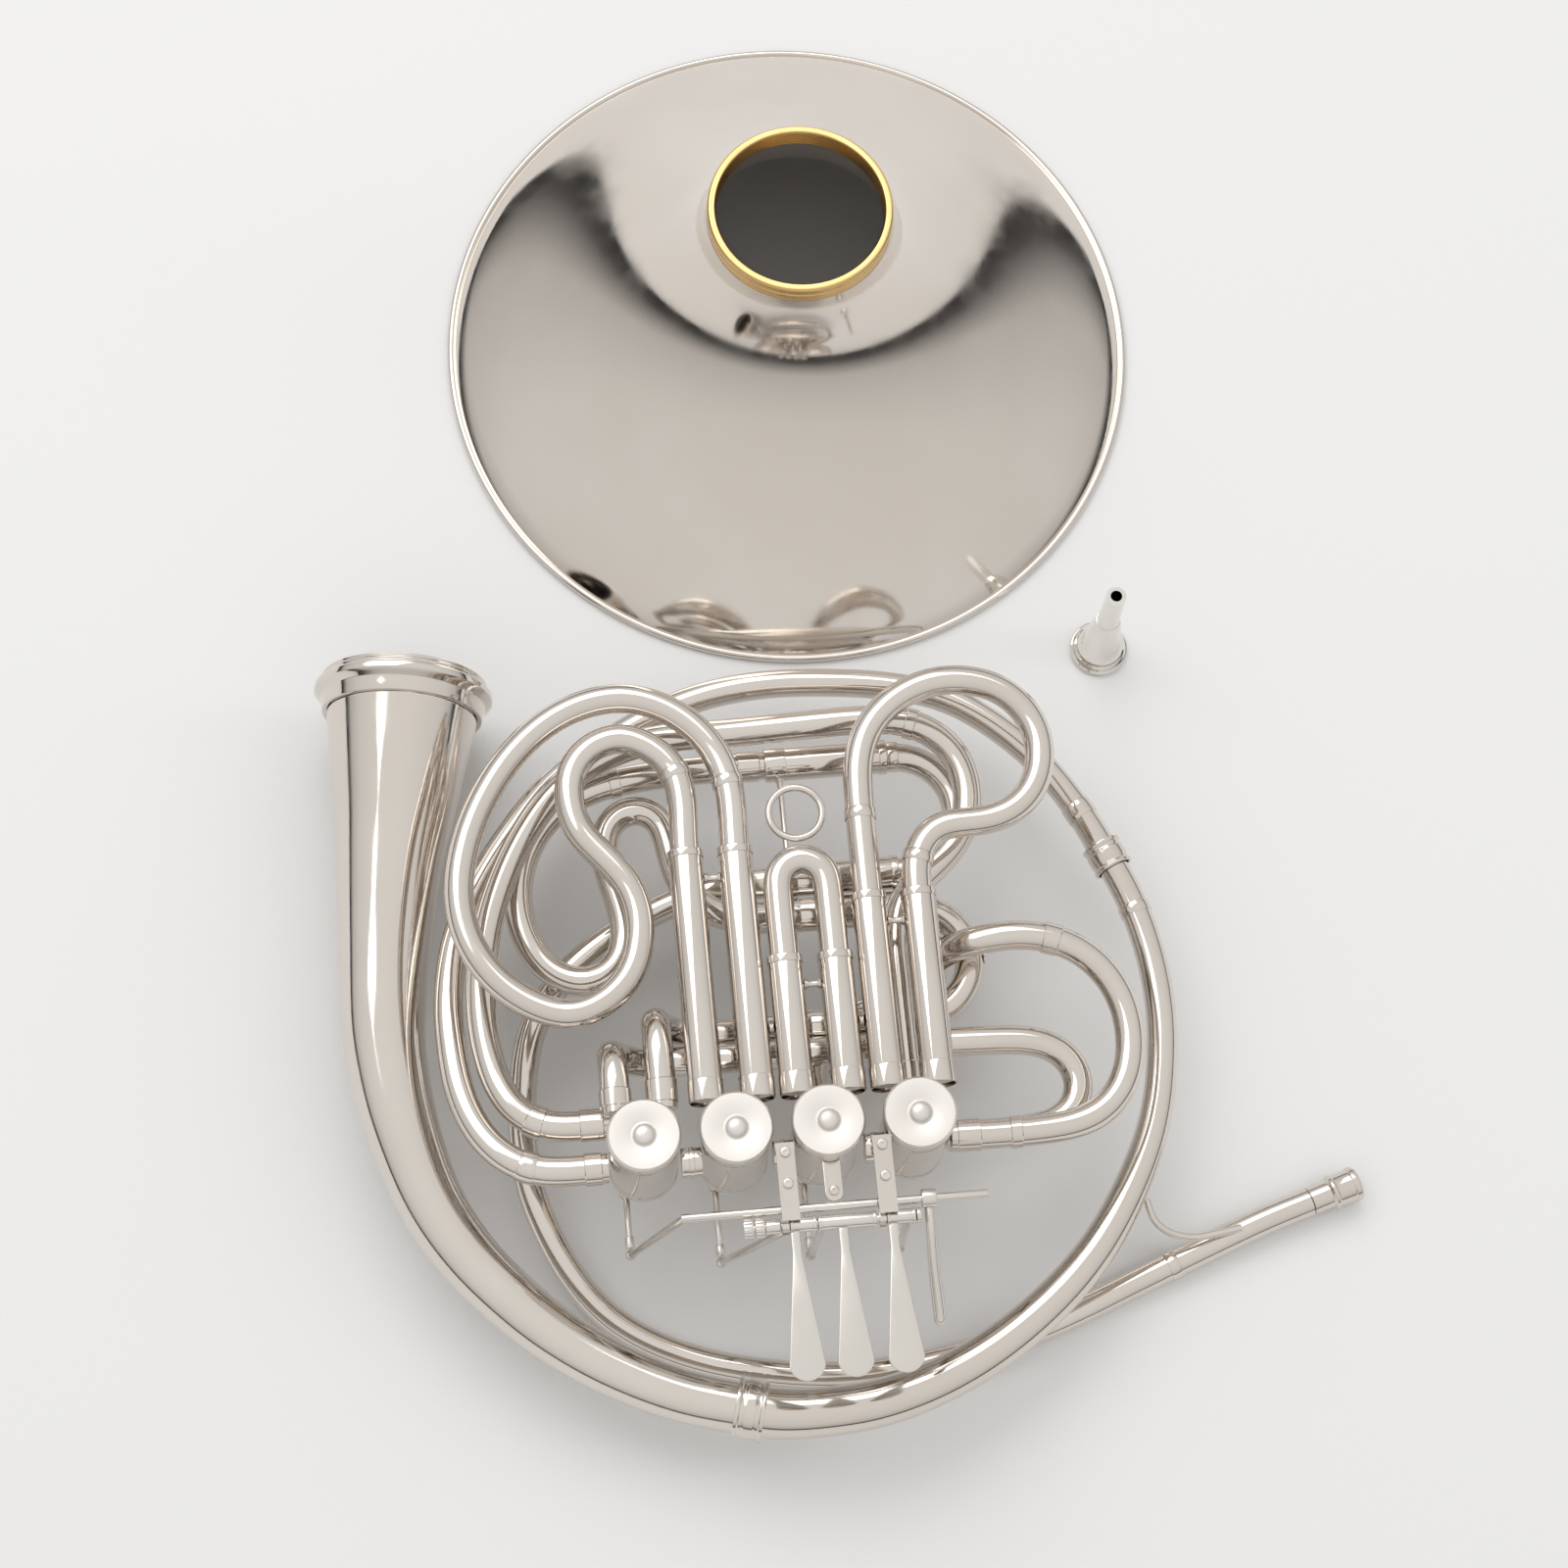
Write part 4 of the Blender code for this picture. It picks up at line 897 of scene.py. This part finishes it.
def make_tail():
    stations = tail_stations()
    route = even_route(stations, 2.6, 8)
    outside = loft(route, 64, False)
    travelled, bore = 0.0, [route[0]]
    for a, b in zip(route, route[1:]):
        travelled += (b - a).to_3d().length
        if travelled > TAIL_BORE_DEPTH:
            break
        bore.append(b)
    bore = [Vector((p[0], p[1], p[2], p[3] - 2 * TAIL_WALL)) for p in bore]
    inside = loft(bore, 64, False)
    flipped = [face[::-1] for face in inside[1]]
    bottom = tuple(range((len(bore) - 1) * 64, len(bore) * 64))[::-1]
    inside = (inside[0], flipped + [bottom])
    lip = (outside[0][:64] + inside[0][:64], ring_faces(0, 64, 64))
    last = (len(route) - 1) * 64
    end = (outside[0], [tuple(range(last, last + 64))])
    nickel_piece("bell_tail", [outside, inside, lip, end])
    make_tail_ring(stations)


def make_tail_ring(stations):
    mouth = Vector(stations[0][:3])
    axis = (mouth - Vector(stations[1][:3])).normalized()
    level = Vector((axis.x, axis.y, 0)).normalized()
    outer, bore = RING_OUTER / 2, TAIL_MOUTH / 2 - TAIL_WALL
    thread = BELL_RING_BORE / 2 - SEAT
    profile = [(bore, RING_LENGTH + 4), (thread - 0.4, RING_LENGTH + 4)]
    profile += thread_profile(thread, RING_LENGTH, RING_LENGTH + 3.8, THREAD_DEPTH)
    profile += [(thread, RING_LENGTH), (outer - 0.8, RING_LENGTH), (outer, RING_LENGTH - 0.9)]
    profile += [(outer, RING_LENGTH * 0.72), (outer - 1.2, RING_LENGTH * 0.62)]
    profile += [(outer - 3, RING_LENGTH * 0.5), (outer - 3.4, RING_LENGTH * 0.3), (outer - 4, 0), (bore, 0)]
    shape = lathe(soften(profile, 0.3, True), mouth + level * 2 * SEAT, level, 96, True)
    nickel_piece("tail_ring", [shape])


def make_ferrule(node, at, towards, tube_diameter):
    at, towards = Vector(at), Vector(towards)
    along = (towards - at).normalized()
    bore = tube_diameter / 2 + 2 * GAP
    outer, half = bore + FERRULE_WALL, FERRULE_LENGTH / 2
    ridge = outer - 0.5
    profile = [(bore, half), (outer, half), (outer, half - 1.4), (ridge, half - 2.0)]
    profile += [(ridge, half - 3.2), (outer - 0.15, half - 4.2), (outer - 0.15, 4.2 - half)]
    profile += [(ridge, 3.2 - half), (ridge, 2.0 - half), (outer, 1.4 - half), (outer, -half), (bore, -half)]
    nickel_piece(node, [lathe(soften(profile, 0.25, True), at, along, 64, True)])


def make_branches():
    branch = even_route(branch_stations())
    nickel_piece("bell_branch", [loft(branch, 40), band(branch, -30.0, 8.0, 0.4, 40)])
    back = even_route(return_stations())
    shapes = [loft(back), band(back, 18.0, 10.0, 0.5), band(back, -12.0, 10.0, 0.6), band(back, -36.0, 9.0, 0.45)]
    nickel_piece("return_branch", shapes)
    tail_end, first = tail_stations()[-1], branch_stations()[1]
    make_ferrule("tail_ferrule", tail_end[:3], first[:3], tail_end[3] + 0.8)
    last, next_one = branch_stations()[-1], return_stations()[1]
    make_ferrule("branch_ferrule", last[:3], next_one[:3], last[3] + 0.6)


def make_leadpipe():
    stations = leadpipe_stations()
    route = even_route(stations)
    nickel_piece("leadpipe", [loft(route), band(route, 60.0, 9.0, 0.5), band(route, -14.0, 13.0, 0.6)])
    start = Vector(stations[0][:3])
    axis = (start - Vector(stations[1][:3])).normalized()
    axis.z = 0
    outer, bore, length = RECEIVER_OUTER / 2, RECEIVER_BORE / 2, RECEIVER_LENGTH
    profile = [
        (0, length - SOCKET_DEPTH),
        (bore * 0.75, length - SOCKET_DEPTH),
        (bore, length),
        (outer - 0.9, length),
        (outer, length - 0.9),
        (outer, length - 3.0),
        (outer - 0.5, length - 3.5),
        (outer - 0.5, length - 10.5),
        (outer, length - 11.0),
        (outer, length - 12.4),
        (outer - 1.5, length - 13.4),
        (outer - 1.5, 0),
        (0, 0),
    ]
    nickel_piece("receiver", [lathe(soften(profile, 0.3), start + axis * GAP, axis, 56)])
    points = [
        (151.5, -27.5, 24.0),
        (154.5, -36.5, 21.0),
        (161.5, -41.5, 18.0),
        (171.0, -43.5, 16.0),
        (181.0, -42.5, 15.4),
        (191.0, -40.9, 14.9),
    ]
    nickel_piece("leadpipe_stay", [loft(even_route([(*p, 3.2) for p in points], 1.2, 4), 20)])


def make_fixed_tubes():
    for node, stations, bands in (
        ("second_return", second_return_stations(), ((2.0, 10.0), (26.0, 9.0), (-16.0, 15.0), (-190.0, 9.0))),
        ("front_loop", front_loop_stations(), ((2.0, 10.0), (22.0, 9.0), (150.0, 9.0), (-12.0, 10.0))),
        ("rear_loop", rear_loop_stations(), ((1.0, 9.0), (70.0, 9.0), (-14.0, 12.0))),
        ("change_elbow", change_elbow_stations(), ((1.0, 12.0), (-12.0, 11.0))),
        ("inner_loop", inner_loop_stations(), ((1.0, 11.0), (60.0, 9.0), (-12.0, 11.0))),
    ):
        route = even_route(stations)
        shapes = [loft(route)] + [band(route, start, length, 0.55) for start, length in bands]
        nickel_piece(node, shapes)
    for index in range(3):
        offset = -9.5
        half = VALVE_PITCH / 2 - casing_reach(abs(offset) - TUBE / 2)
        centre = (valve_x(index) + valve_x(index + 1)) / 2
        start, end = (centre - half, offset, FRONT_Z), (centre + half, offset, FRONT_Z)
        middle = ((centre - 1.1, offset, FRONT_Z), (centre + 1.1, offset, FRONT_Z))
        shapes = [rod(start, end, TUBE, 0.3, 36), rod(*middle, TUBE + 0.5, 0.3, 36)]
        nickel_piece(f"knuckle_tube_{index + 1}", shapes)


def make_sleeves(node, pair, brace):
    """Two outer sleeves with a rolled ring at their open ends, and the brace between them."""
    shapes = []
    for start, end in pair:
        shapes.append(pipe(start, end, SLEEVE, SLIDE_BORE))
        along = (Vector(end) - Vector(start)).normalized()
        shapes.append(pipe(Vector(end) - along * 3.2, Vector(end), SLEEVE + 0.7, SLIDE_BORE, 0.3))
        shapes.append(pipe(Vector(start), Vector(start) + along * 9.0, SLEEVE + 0.5, SLIDE_BORE, 0.3))
    shapes.append(flanged_rod(*brace, STAY, 5.0))
    nickel_piece(node, shapes)


def make_front_slides():
    sources = (first_slide_points(), second_slide_points(), third_slide_points())
    for index, (name, points) in enumerate(zip(("first", "second", "third"), sources)):
        left, right = slide_legs(index)
        foot, top = sleeve_foot(), SLEEVE_TOPS[index]
        pair = [((x, foot, FRONT_Z), (x, top, FRONT_Z)) for x in (left, right)]
        wall = SLEEVE / 2 - 0.2
        brace = ((left + wall, top - 12.0, FRONT_Z), (right - wall, top - 12.0, FRONT_Z))
        make_sleeves(f"{name}_sleeves", pair, brace)
        route = even_route([(*point, FRONT_Z, TUBE) for point in points])
        joints = {"first": (136.0, -136.0), "second": (), "third": (112.0, -98.0)}[name]
        shapes = [loft(route, 32)] + [band(route, start, 7.0, 0.5, 32) for start in joints]
        nickel_piece(f"{name}_slide", shapes)
    make_pull_ring()
    rail = SLEEVE / 2 + GAP
    for index in range(2):
        start = (slide_legs(index)[1] + rail, STAY_Y, FRONT_Z)
        end = (slide_legs(index + 1)[0] - rail, STAY_Y, FRONT_Z)
        nickel_piece(f"sleeve_stay_{index + 1}", [flanged_rod(start, end, STAY, 5.2)])


def make_pull_ring():
    crown = 104.2 + LEG_SPREAD + TUBE / 2
    centre = (valve_x(2), crown + PULL_RING / 2 + GAP, FRONT_Z)
    middle, section = (PULL_RING - PULL_RING_WIRE) / 2, PULL_RING_WIRE / 2
    profile = []
    for step in range(16):
        angle = -math.tau * step / 16
        profile.append((middle + section * math.cos(angle), section * math.sin(angle)))
    nickel_piece("pull_ring", [lathe(profile, centre, steps=72, closed=True)])


def make_rear_slides():
    start_x, end_x = REAR_SLEEVE_X
    for name, legs in (("main_tuning", TUNING_LEGS), ("b_flat_tuning", B_FLAT_LEGS)):
        pair = [((start_x, y, TUNING_Z), (end_x, y, TUNING_Z)) for y in legs]
        wall = SLEEVE / 2 - 0.2
        brace = ((start_x + 6.0, legs[0] + wall, TUNING_Z), (start_x + 6.0, legs[1] - wall, TUNING_Z))
        make_sleeves(f"{name}_sleeves", pair, brace)
        route = even_route(rear_slide_stations(legs))
        bow = route[len(route) // 2]
        button = Vector((bow[0] + TUBE / 2 - 0.3, bow[1], TUNING_Z))
        ends = (button, button + Vector((0.8, 0, 0)))
        shapes = [loft(route), band(route, 56.0, 6.0, 0.5), band(route, -56.0, 6.0, 0.5), rod(*ends, 6.0)]
        nickel_piece(f"{name}_slide", shapes)


def make_valves():
    for index, name in enumerate(VALVE_NAMES):
        x = valve_x(index)
        make_casing(name, x)
        make_cap(name, x)
        make_plate(name, x)
        frame["nodes"][f"rotor_{name}"].data.materials.clear()
        frame["nodes"][f"rotor_{name}"].data.materials.append(BRASS)


def make_casing(name, x):
    outer, bore = CASING_OUTER / 2, CASING_BORE / 2
    low, top = CASING_BOTTOM, CASING_TOP
    neck = outer - 0.35
    profile = [(bore, top), (outer, top), (outer, top - 3.2), (neck, top - 3.8), (neck, top - 5.4)]
    profile += [(outer - 0.1, top - 6.0), (outer - 0.1, low + 6.0), (neck, low + 5.4), (neck, low + 3.8)]
    profile += [(outer, low + 3.2), (outer, low), (bore, low)]
    shapes = [lathe(soften(profile, 0.25, True), (x, 0, 0), steps=80, closed=True)]
    if name == "second":
        half, round_end = REST_TAB_WIDTH / 2, -REST_TAB_REACH
        outline = [(x + half, -outer + 1.0), (x - half, -outer + 1.0)]
        for step in range(9):
            angle = math.pi * (1 + step / 8)
            outline.append((x + half * math.cos(angle), round_end + half + half * math.sin(angle)))
        shapes.append(slab(outline, REST_TAB_Z, REST_TAB_Z + 2.0, 0.35))
        shapes.append(screw_head((x, round_end + half + 0.6, REST_TAB_Z + 2.0), diameter=4.2, height=1.3))
    nickel_piece(f"valve_casing_{name}", shapes)


def make_cap(name, x):
    low = CASING_TOP + GAP
    high = low + CAP_THICKNESS
    outer, nipple = CAP_OUTER / 2, NIPPLE_OUTER / 2
    profile = [(0, high + NIPPLE_HEIGHT)]
    for step in range(1, 8):
        angle = math.pi / 2 * step / 8
        profile.append((nipple * math.sin(angle), high + NIPPLE_HEIGHT * math.cos(angle)))
    profile += [(nipple, high), (nipple + 0.4, high - 0.1), (nipple + 0.8, high)]
    profile += [(outer - 1.0, high), (outer - 0.25, high - 0.7), (outer, high - 1.2)]
    profile += [(outer, low + 1.0), (outer - 0.3, low), (0, low)]
    shape = lathe(profile, (x, 0, 0), steps=144, knurl=(outer - 0.1, 0.22))
    piece(f"valve_cap_{name}_look", [shape], SATIN, f"valve_cap_{name}")


def make_plate(name, x):
    top = CASING_BOTTOM - GAP
    low = top - PLATE_THICKNESS
    outer, hole = CASING_OUTER / 2, SPINDLE_HOLE / 2
    profile = [(hole, top), (outer - 0.2, top), (outer, top - 0.4), (outer, low + 0.8), (outer - 0.8, low)]
    profile += [(outer - 2.2, low), (outer - 2.6, low + 0.5), (hole + 1.8, low + 0.5), (hole + 1.5, low - 1.2)]
    profile += [(hole, low - 1.2)]
    shapes = [lathe(soften(profile, 0.2, True), (x, 0, 0), steps=80, closed=True)]
    corks = []
    for side in (-1, 1):
        angle = math.radians(CORK_ANGLE * side)
        spot = (x + CORK_RADIUS * math.cos(angle), CORK_RADIUS * math.sin(angle))
        corks.append(rod((*spot, low - CORK_DROP), (*spot, low + 1.0), CORK, 0.5))
        shapes.append(pipe((*spot, low - CORK_DROP * 0.45), (*spot, low + 0.6), CORK + 0.7, CORK + 0.02))
    piece(f"bearing_plate_{name}_look", shapes, SATIN, f"bearing_plate_{name}")
    piece(f"corks_{name}", corks, CORK_BLACK, body="horn")


def make_hinge_rod():
    rod_radius, collar = 1.6, 4.2
    start, end = -19.0, 50.8
    profile = [
        (0, end),
        (3.1, end),
        (3.1, end - 1.8),
        (rod_radius, end - 1.8),
        (rod_radius, -4.6),
        (2.9, -4.6),
        (2.9, -10.4),
        (rod_radius, -10.4),
        (rod_radius, -11.0),
        (collar, -11.0),
        (collar, -14.4),
        (rod_radius, -14.4),
        (rod_radius, -15.4),
        (collar, -15.4),
        (collar, start),
        (0, start),
    ]
    shape = lathe(soften(profile, 0.3), (0, HINGE_Y, HINGE_Z), (1, 0, 0), 48, knurl=(collar - 0.05, 0.2))
    lever_piece("hinge_rod", [shape])


def make_brackets():
    """The CAD brackets with their edges rounded, and a screw head on each strap."""
    for index, x in enumerate((-0.3, 38.0)):
        node = f"lever_bracket_{index + 1}"
        mesh = frame["nodes"][node].data.copy()
        made = bpy.data.objects.new(f"{node}_look", mesh)
        bpy.context.scene.collection.objects.link(made)
        mesh.materials.clear()
        mesh.materials.append(NICKEL)
        weld = made.modifiers.new("weld", "WELD")
        weld.merge_threshold = 0.00001
        flat = made.modifiers.new("flat", "DECIMATE")
        flat.decimate_type = "DISSOLVE"
        flat.angle_limit = math.radians(1)
        edge = made.modifiers.new("edge", "BEVEL")
        edge.width = 0.00028
        edge.segments = 2
        edge.limit_method = "ANGLE"
        edge.angle_limit = math.radians(50)
        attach(made, "horn")
        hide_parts(node)
        heads = [screw_head((x, y, 97.5), diameter=4.6, height=1.5) for y in (-12.5, -25.0)]
        piece(f"bracket_screws_{index + 1}", heads, LEVER, body="horn")


def paddle_outline(x):
    neck, wide = PADDLE_NECK / 2, PADDLE_WIDTH / 2
    end_y = HINGE_Y - PADDLE_LENGTH + wide
    outline = [(x + neck, HINGE_Y), (x - neck, HINGE_Y)]
    for step in range(1, 4):
        outline.append((x - neck, HINGE_Y - 4.0 * step))
    for step in range(33):
        angle = math.radians(190 + 160 * step / 32)
        outline.append((x + wide * math.cos(angle), end_y + wide * math.sin(angle)))
    for step in range(3, 0, -1):
        outline.append((x + neck, HINGE_Y - 4.0 * step))
    return outline


def make_finger_levers():
    for index in range(3):
        start, end = LEVER_HUBS[index]
        low = HINGE_Z - PADDLE_THICKNESS / 2
        plate = slab(paddle_outline(LEVER_NECKS[index]), low, low + PADDLE_THICKNESS, 0.5)
        foot = (valve_x(index + 1) - PIN_OFFSET, HINGE_Y, HINGE_Z - ARM_DROP)
        root_x = min(max(foot[0], start + 2.5), end - 2.5)
        hub = pipe((start, HINGE_Y, HINGE_Z), (end, HINGE_Y, HINGE_Z), HUB_OUTER, 4.1, 0.3)
        rims = []
        for x in (start + 0.1, end - 1.3):
            rims.append(pipe((x, HINGE_Y, HINGE_Z), (x + 1.2, HINGE_Y, HINGE_Z), HUB_OUTER + 0.8, 4.1))
        arm = rod((root_x, HINGE_Y, HINGE_Z - 2.4), foot, ARM_WIDTH, 0.2)
        lever_piece(f"finger_lever_{index + 1}", [plate, hub, arm, ball(foot, BALL)] + rims)


def make_thumb_lever():
    start, end = (SHAFT_ENDS[0], SHAFT_Y, HINGE_Z), (SHAFT_ENDS[1], SHAFT_Y, HINGE_Z)
    foot = (valve_x(0) - PIN_OFFSET, SHAFT_Y, HINGE_Z - ARM_DROP)
    route = [
        (THUMB_X, SHAFT_Y, HINGE_Z - 2.0, 4.0),
        (THUMB_X, -45.0, 89.0, 4.0),
        (THUMB_X + 0.2, -58.0, 82.0, 4.4),
        (THUMB_X + 1.0, -70.0, 75.0, 5.0),
        (THUMB_X + 1.6, -78.0, 70.5, 5.0),
    ]
    touch = even_route(route, 1.5, 2)
    shapes = [
        rod(start, end, SHAFT, 0.5),
        rod((THUMB_X - 3, SHAFT_Y, HINGE_Z), (THUMB_X + 3, SHAFT_Y, HINGE_Z), 7.6, 0.6),
        rod((SHAFT_ENDS[0] + 1.5, SHAFT_Y, HINGE_Z), foot, ARM_WIDTH, 0.2),
        ball(foot, BALL),
        loft(touch, 20),
        ball(Vector(touch[-1][:3]), 5.0),
    ]
    lever_piece("thumb_lever", shapes)


def make_links():
    z = HINGE_Z - ARM_DROP
    for index, name in enumerate(VALVE_NAMES):
        x = valve_x(index) - PIN_OFFSET
        ball_y = SHAFT_Y if index == 0 else HINGE_Y
        start, end = (x, ball_y + BALL / 2 + GAP, z), (x, -PIN_OFFSET - EYE / 2 + 0.3, z)
        collar = ((x, start[1] + 0.1, z), (x, start[1] + 5.0, z))
        eye = ((x, -PIN_OFFSET, z - EYE_HEIGHT / 2), (x, -PIN_OFFSET, z + EYE_HEIGHT / 2))
        shapes = [rod(start, end, LINK, 0.3), rod(*collar, LINK + 1.0, 0.4), rod(*eye, EYE, 0.4, 32)]
        lever_piece(f"link_rod_{name}", shapes)


def make_mouthpiece():
    rim, cup = MOUTHPIECE_RIM / 2, CUP_BORE / 2
    shank, bore = SHANK_OUTER / 2, SHANK_BORE / 2
    top = MOUTHPIECE_HEIGHT
    outside = [
        (shank, top, 0, 0),
        (shank + 0.6, top - 24, 0, 0),
        (shank + 1.2, top - 27, 0, 0),
        (shank + 2.6, top - 36, 0, 0),
        (rim - 4.2, 8.0, 0, 0),
        (rim - 1.4, 3.4, 0, 0),
        (rim, 2.0, 0, 0),
        (rim - 0.6, 0.4, 0, 0),
        (rim - 2.0, 0, 0, 0),
        (cup, 0.9, 0, 0),
        (cup - 0.9, 4.0, 0, 0),
        (cup - 3.0, 14.0, 0, 0),
        (2.3, 27.0, 0, 0),
        (bore, top, 0, 0),
    ]
    profile = [(p[0], min(max(p[1], 0), top)) for p in smooth_route(outside, 5)]
    shape = lathe(profile, (*MOUTHPIECE_PLACE, 0), steps=96, closed=True)
    piece("mouthpiece_look", [shape], SILVER, "mouthpiece", sharp=60)


# Floor, lights and camera


def make_floor():
    size, low = 12.0, -0.0002
    mesh = bpy.data.meshes.new("floor")
    corners = [(-size, -size, low), (size, -size, low), (size, size, low), (-size, size, low)]
    mesh.from_pydata(corners, [], [(0, 1, 2, 3)])
    mesh.materials.append(matt("pale_floor", (0.84, 0.84, 0.84), (0.86, 0.86, 0.86), 0.7))
    floor = bpy.data.objects.new("floor", mesh)
    bpy.context.scene.collection.objects.link(floor)


def area_light(name, place, target, size, power, glossy=True):
    data = bpy.data.lights.new(name, "AREA")
    data.shape = "RECTANGLE"
    data.size, data.size_y = size
    data.energy = power
    light = bpy.data.objects.new(name, data)
    light.location = place
    light.visible_glossy = glossy
    light.rotation_euler = (Vector(target) - Vector(place)).to_track_quat("-Z", "Y").to_euler()
    bpy.context.scene.collection.objects.link(light)


def make_world():
    """A studio dome: bright overhead, dim at the horizon, so that curved metal shows soft bands."""
    world = bpy.data.worlds.new("studio")
    bpy.context.scene.world = world
    world.use_nodes = True
    nodes, links = world.node_tree.nodes, world.node_tree.links
    background = nodes["Background"]
    direction = nodes.new("ShaderNodeTexCoord").outputs["Generated"]
    split = nodes.new("ShaderNodeSeparateXYZ")
    links.new(direction, split.inputs["Vector"])
    bands = nodes.new("ShaderNodeValToRGB")
    stops = ((0.0, 0.03), (0.06, 0.10), (0.18, 0.66), (0.45, 0.86), (1.0, 1.0))
    while len(bands.color_ramp.elements) < len(stops):
        bands.color_ramp.elements.new(0.5)
    for element, (place, value) in zip(bands.color_ramp.elements, stops):
        element.position = place
        element.color = (value, value * 0.99, value * 0.97, 1)
    links.new(split.outputs["Z"], bands.inputs["Fac"])
    links.new(bands.outputs["Color"], background.inputs["Color"])
    background.inputs["Strength"].default_value = 0.85


def make_camera():
    """The photograph's viewpoint, solved from the bell's ellipses."""
    data = bpy.data.cameras.new("camera")
    data.lens = 78.75
    data.sensor_width = 36.0
    camera = bpy.data.objects.new("camera", data)
    right = Vector((0.99484, -0.09306, 0.04036))
    up = Vector((0.07436, 0.93975, 0.33367))
    back = Vector((-0.06898, -0.32896, 0.94182))
    turn = Matrix((right, up, back)).transposed().to_4x4()
    place = Vector((-82.75, -318.95, 1411.78)) * MM + SHIFT
    camera.matrix_world = Matrix.Translation(place) @ turn
    bpy.context.scene.collection.objects.link(camera)
    bpy.context.scene.camera = camera


make_bell()
make_tail()
make_branches()
make_leadpipe()
make_fixed_tubes()
make_front_slides()
make_rear_slides()
make_valves()
make_hinge_rod()
make_brackets()
make_finger_levers()
make_thumb_lever()
make_links()
make_mouthpiece()
make_floor()
area_light("key", (-0.7, 1.3, 2.2), (0, 0.05, 0), (2.6, 1.6), 20.0)
area_light("fill", (1.8, -0.2, 1.6), (0, 0, 0), (0.6, 2.2), 5.0, glossy=False)
make_world()
make_camera()
bpy.context.scene.view_settings.view_transform = "Standard"
